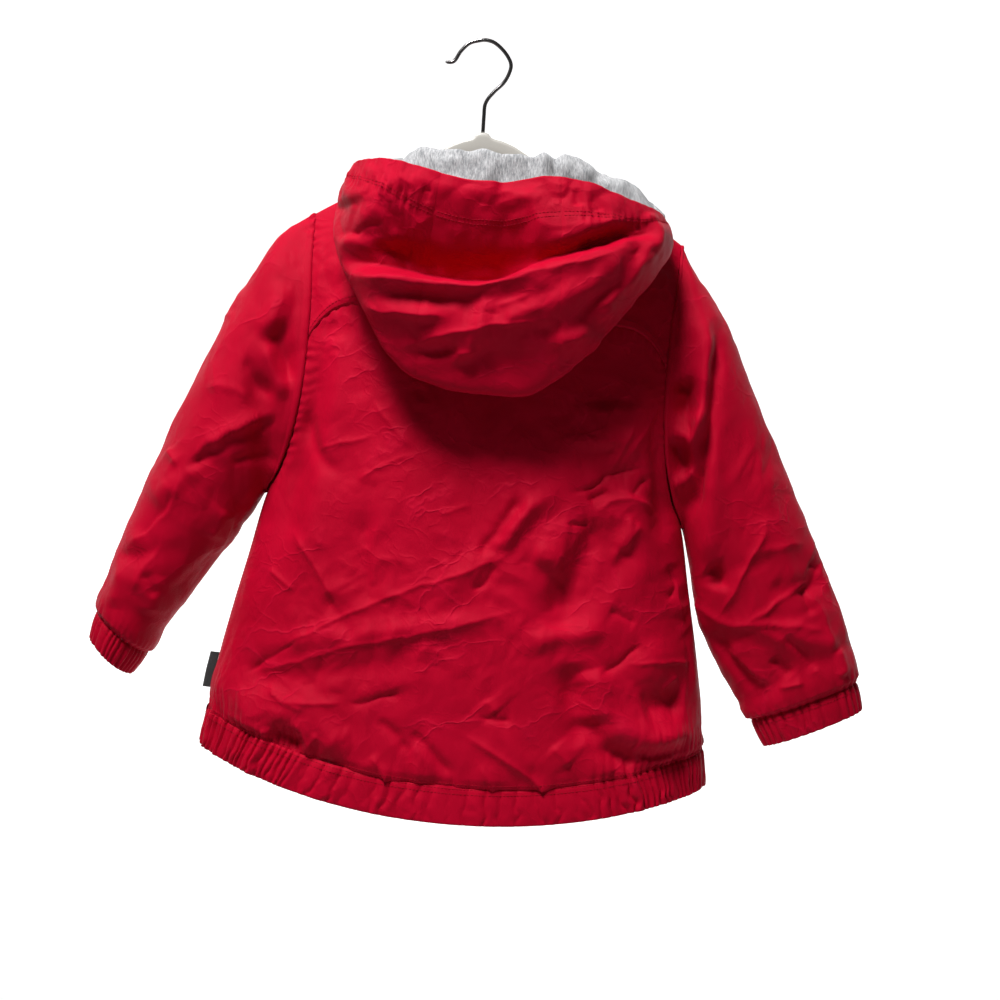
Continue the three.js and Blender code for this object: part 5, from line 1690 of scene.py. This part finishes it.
@dataclass
class Zip:
    """The closed zip: two tapes, two rows of teeth, and the enamel of slider and pull tab."""

    seamstress: Seamstress
    top: float = 158
    tape: float = 13
    tape_in: float = 2.4
    pitch: float = 2.5
    first_tooth: float = 22
    last_tooth: float = 3
    tooth: tuple[float, float, float] = (3.1, 1.35, 1.5)
    tooth_in: float = 2.3
    levels: tuple[tuple[float, float], ...] = ((0, 1.0), (0.75, 1.0), (1, 0.8))

    def face(self, down: Array) -> Array:
        """The fronts' skin at the zip."""
        cut = BODY.cut
        top = float(BODY.top(Panel.FRONT, np.array(cut.zip_half))[1])
        bottom = float(BODY.hem_top(Panel.FRONT, np.array(cut.zip_half)))
        v = np.minimum(1, (down - top) / (bottom - top))
        y = BODY.front(Side.RIGHT, np.zeros_like(v), v)[..., 1]
        return y + np.maximum(0, (down - bottom) / cut.band) * cut.flare * 0.6

    def build(self) -> None:
        """Makes the tapes and the teeth, and finishes slider and pull."""
        finishes = self.seamstress.finishes
        bottom = float(BODY.hem_top(Panel.FRONT, np.array(0.0))) + BODY.cut.band
        down = spaced(300, self.top, bottom)[:, None]
        face = self.face(down) - self.tape_in
        for side in Side:
            across = spaced(12, 0.15, self.tape) * side.value
            ridge = 0.3 * np.exp(-((np.abs(across) - 2.2) / 0.7) ** 2)
            grid = ClothGrid(joined(across, face + ridge, -down), side.value)
            name = f"zip_tape_{side.name.lower()}"
            self.seamstress.cloth(f"woven_{name}", grid, (name,), "zip_tape", finishes.tape, ease=1.0)
        self.teeth(bottom)
        for node in ("zip_slider", "zip_pull"):
            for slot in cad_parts[node].material_slots:
                slot.material = finishes.enamel

    def teeth(self, bottom: float) -> None:
        """Makes both rows of teeth as one mesh."""
        length, height, depth = self.tooth
        profile = np.array([(0, 0.32), (0.25, 0.5), (0.7, 0.5), (0.85, 0.36), (1, 0.5)])
        outline = np.concatenate([profile, profile[::-1] * (1, -1)])
        marks = np.arange(self.top + self.first_tooth, bottom - self.last_tooth, self.pitch)
        rings: list[Array] = []
        for side in Side:
            middle = (marks + (self.pitch / 2 if side is Side.RIGHT else 0))[:, None]
            x, z = side.value * (-1.0 + outline[:, 0] * length), outline[:, 1] * height
            y = self.face(middle) - self.tooth_in
            rings.extend(np.stack([joined(x * inset, y + level * depth, z * inset - middle)
                                   for level, inset in self.levels], 1))
        corners = len(self.levels) * len(outline)
        faces = [[tooth * corners + corner for corner in face]
                 for tooth in range(len(rings)) for face in tube_faces(len(self.levels), len(outline))]
        made = new_object("zip_teeth", FRAME.world(np.stack(rings)), faces, self.seamstress.finishes.teeth,
                          smoothed=False)
        self.seamstress.dress(made, "zip_tape", ("zip_chain",))
        log.info("zip_teeth: %d teeth", 2 * len(marks))


@dataclass
class SideLabel:
    """A bare woven label, folded once and caught in the left side seam."""

    seamstress: Seamstress
    down: float = 481
    length: float = 27
    reach: float = 6.6
    thick: float = 0.55
    curl: float = 1.4

    def build(self) -> None:
        """Makes the folded label."""
        rows = spaced(40, self.down, self.down + self.length)[:, None]
        edge = -BODY.half(rows) - BODY.cut.gap
        out = spaced(16, 0, self.reach)
        turn = spaced(8, -math.pi / 2, math.pi / 2)[1:-1]
        across = np.concatenate([out, self.reach + self.thick * np.cos(turn), out[::-1]])
        aside = np.concatenate([0 * out - self.thick, self.thick * np.sin(turn), 0 * out + self.thick])
        share = across / self.reach
        y = aside + self.curl * share ** 2 + 0.3 * np.sin(rows / 4) * share
        grid = ClothGrid(joined(edge - across, y, -rows), 1)
        self.seamstress.cloth("woven_side_label", grid, ("side_label",), "label",
                              self.seamstress.finishes.label, ease=1.0)


@dataclass
class Hanger:
    """The plastic hanger with its sloping arms, and the wire hook."""

    finishes: Finishes
    tilt: float = math.radians(1.5)
    pivot_x: float = -1.6
    pivot_down: float = 70.7
    thick: float = 7.0
    squareness: float = 0.45
    arm: tuple[tuple[float, float], ...] = (
        (0, 70.7), (4, 70.7), (5.5, 73.8), (8, 75.3), (15, 77.0), (23, 80.2), (29, 83.9), (35, 87.6),
        (60, 109.5), (100, 131), (122, 142.2))
    root: float = 11.0
    depth: float = 12.0
    tip_depth: float = 9.0
    wire: float = 3.0
    route: tuple[tuple[float, float], ...] = (
        (-30.4, 16.7), (-23.9, 16.3), (-18.2, 8.4), (-11.4, 2.3), (-5.3, 0.6), (0, 0), (6.1, 1.5), (12.2, 6.1),
        (17.5, 12.9), (19.8, 19), (18.2, 25.8), (14.1, 32.7), (7.6, 38.8), (2.3, 44.8), (0, 49.4), (-0.8, 57.8),
        (-1.6, 70.4))

    def body(self) -> None:
        """Makes the hanger's arms as one loft from tip to tip."""
        end = self.arm[-1][0] + self.tip_depth / 2
        x = np.sin(spaced(180, -math.pi / 2, math.pi / 2)) * end
        across = np.abs(x)
        tops = np.array(self.arm)
        slope = (tops[-1, 1] - tops[-2, 1]) / (tops[-1, 0] - tops[-2, 0])
        top = np.interp(across, tops[:, 0], tops[:, 1]) + np.maximum(across - tops[-1, 0], 0) * slope
        inner = np.interp(np.maximum(across, self.root), tops[:, 0], tops[:, 1])
        depth = mix(self.depth, self.tip_depth, smooth(across, *tops[-2:, 0]))
        bottom = inner + depth + np.maximum(across - tops[-1, 0], 0) * slope
        past = np.clip((across - tops[-1, 0]) / (self.tip_depth / 2), 0, 1)
        round_tip = np.sqrt(np.maximum(1 - past ** 2, 0.0004))
        middle, half = (top + bottom) / 2, (bottom - top) / 2 * round_tip
        turn = spaced(28, 0, 2 * math.pi)[:-1]
        wide, high = (np.sign(value) * np.abs(value) ** self.squareness for value in (np.cos(turn), np.sin(turn)))
        y = wide * (self.thick / 2 * round_tip ** 0.5)[:, None]
        points = joined(x[:, None], y, high * half[:, None] - middle[:, None]).reshape(-1, 3)
        z = points[:, 2] + self.pivot_down
        cos, sin = math.cos(self.tilt), math.sin(self.tilt)
        placed = np.stack([points[:, 0] * cos + z * sin + self.pivot_x, points[:, 1],
                           -points[:, 0] * sin + z * cos - self.pivot_down + self.wire / 2], -1) * MM
        faces = tube_faces(len(x), len(turn))
        made = new_object("hanger_arms", placed, faces, self.finishes.plastic)
        Seamstress.dress(made, "hanger", ("hanger_body",))
        log.info("hanger_arms: %d faces", len(faces))

    def hook(self) -> None:
        """Makes the wire as a round tube with a domed end."""
        knots = np.array([(x, 0, -down) for x, down in self.route])
        line = through(knots, spaced(220))
        dome = np.maximum(np.sin(spaced(5, 0, math.pi / 2)), 0.08)
        radius = np.pad(dome, (0, len(line) - len(dome)), constant_values=1) * self.wire / 2
        side, level = np.cross(unit(np.gradient(line, axis=0)), (0, 1, 0)), np.array((0, 1, 0))
        turn = spaced(20, 0, 2 * math.pi)[:-1][:, None]
        points = line[:, None] + radius[:, None, None] * (np.cos(turn) * side[:, None] + np.sin(turn) * level)
        points[..., 2] += self.wire / 2
        made = new_object("hook_wire", points.reshape(-1, 3) * MM, tube_faces(len(line), len(turn)),
                          self.finishes.wire)
        Seamstress.dress(made, "wire", ("hanger_hook",))
        log.info("hook_wire: %d rings", len(line))

    def build(self) -> None:
        """Makes hanger and hook."""
        self.body()
        self.hook()


# ---- the studio


@dataclass
class Studio:
    """A pale floor that rises into a wall, soft light and the camera."""

    eye: tuple[float, float, float] = (0.0114, -1.3, -0.3481)
    width: float = 0.76
    floor: float = -1.3
    wall: float = 1.9
    sensor: float = 36.0
    bend: float = 0.7
    glow: float = 0.95
    fill: float = 0.07

    def camera(self) -> None:
        """Places the camera level, straight at the jacket's back."""
        data = bpy.data.cameras.new("camera")
        data.sensor_width = self.sensor
        data.lens = self.sensor * abs(self.eye[1]) / self.width
        made = bpy.data.objects.new("camera", data)
        made.location = self.eye
        made.rotation_euler = (math.pi / 2, 0, 0)
        bpy.context.scene.collection.objects.link(made)
        bpy.context.scene.camera = made

    def backdrop(self) -> None:
        """Makes floor and wall as one curved sheet."""
        turn = spaced(24, 0, math.pi / 2)
        y = np.concatenate([[-1.6, 0.0], self.wall - self.bend * (1 - np.sin(turn)), [self.wall]])
        z = np.concatenate([[self.floor] * 2, self.floor + self.bend * (1 - np.cos(turn)), [3.0]])
        grid = ClothGrid(joined(spaced(2, -5, 5), y[:, None], z[:, None]), 1)
        bench = Bench("backdrop", (0.8, 0.8, 0.8), 0.9, {"Specular IOR Level": 0.0, "Emission Strength": self.glow})
        height = bench.node("ShaderNodeSeparateXYZ", {}, {0: bench.place(False)}, 2)
        bright = bench.range(height, self.floor, self.floor + 0.2)
        bench.into("Emission Color", bench.blend(bright, (0.1, 0.1, 0.1), (1, 1, 1)))
        made = new_object("backdrop", grid.points, grid.faces(), bench.material)

    @staticmethod
    def lamp(name: str, place: tuple[float, float, float], aim: tuple[float, float, float], size: float,
             power: float) -> None:
        """Adds one soft area light."""
        data = bpy.data.lights.new(name, "AREA")
        data.shape, data.size, data.energy, data.spread = "SQUARE", size, power, math.radians(80)
        made = bpy.data.objects.new(name, data)
        made.location = place
        made.rotation_euler = (Vector(aim) - Vector(place)).to_track_quat("-Z", "Y").to_euler()
        bpy.context.scene.collection.objects.link(made)

    def light(self) -> None:
        """Lights the jacket from above and the left. The wall and a dim world light the rest of it.

        The camera itself sees the world as bright as the wall, so that every view is on white.
        """
        self.lamp("key", (-0.44, -0.92, 1.38), (0.02, 0, -0.35), 0.6, 13)
        world = bpy.data.worlds.new("studio")
        world.use_nodes = True
        nodes, links = world.node_tree.nodes, world.node_tree.links
        nodes["Background"].inputs["Color"].default_value = (1, 1, 1, 1)
        path, strength = nodes.new("ShaderNodeLightPath"), nodes.new("ShaderNodeMath")
        strength.operation = "MULTIPLY_ADD"
        strength.inputs[1].default_value, strength.inputs[2].default_value = self.glow - self.fill, self.fill
        links.new(path.outputs["Is Camera Ray"], strength.inputs[0])
        links.new(strength.outputs[0], nodes["Background"].inputs["Strength"])
        bpy.context.scene.world = world
        bpy.context.scene.view_settings.view_transform = "Standard"

    def build(self) -> None:
        """Makes the whole studio."""
        self.camera()
        self.backdrop()
        self.light()


def main() -> None:
    """Builds the studio, then the jacket piece by piece."""
    logging.basicConfig(level=logging.INFO, format="%(name)s: %(message)s")
    Studio().build()
    finishes = Finishes()
    seamstress = Seamstress(finishes)
    gathers = Gathers(BODY)
    Hanger(finishes).build()
    BodyCloth(seamstress, gathers).build()
    for side in Side:
        Sleeve(side, seamstress).build()
    HemBand(seamstress, gathers).build()
    Hood(seamstress).build()
    Zip(seamstress).build()
    SideLabel(seamstress).build()
    seamstress.stitch()


if __name__ == "__main__":
    main()
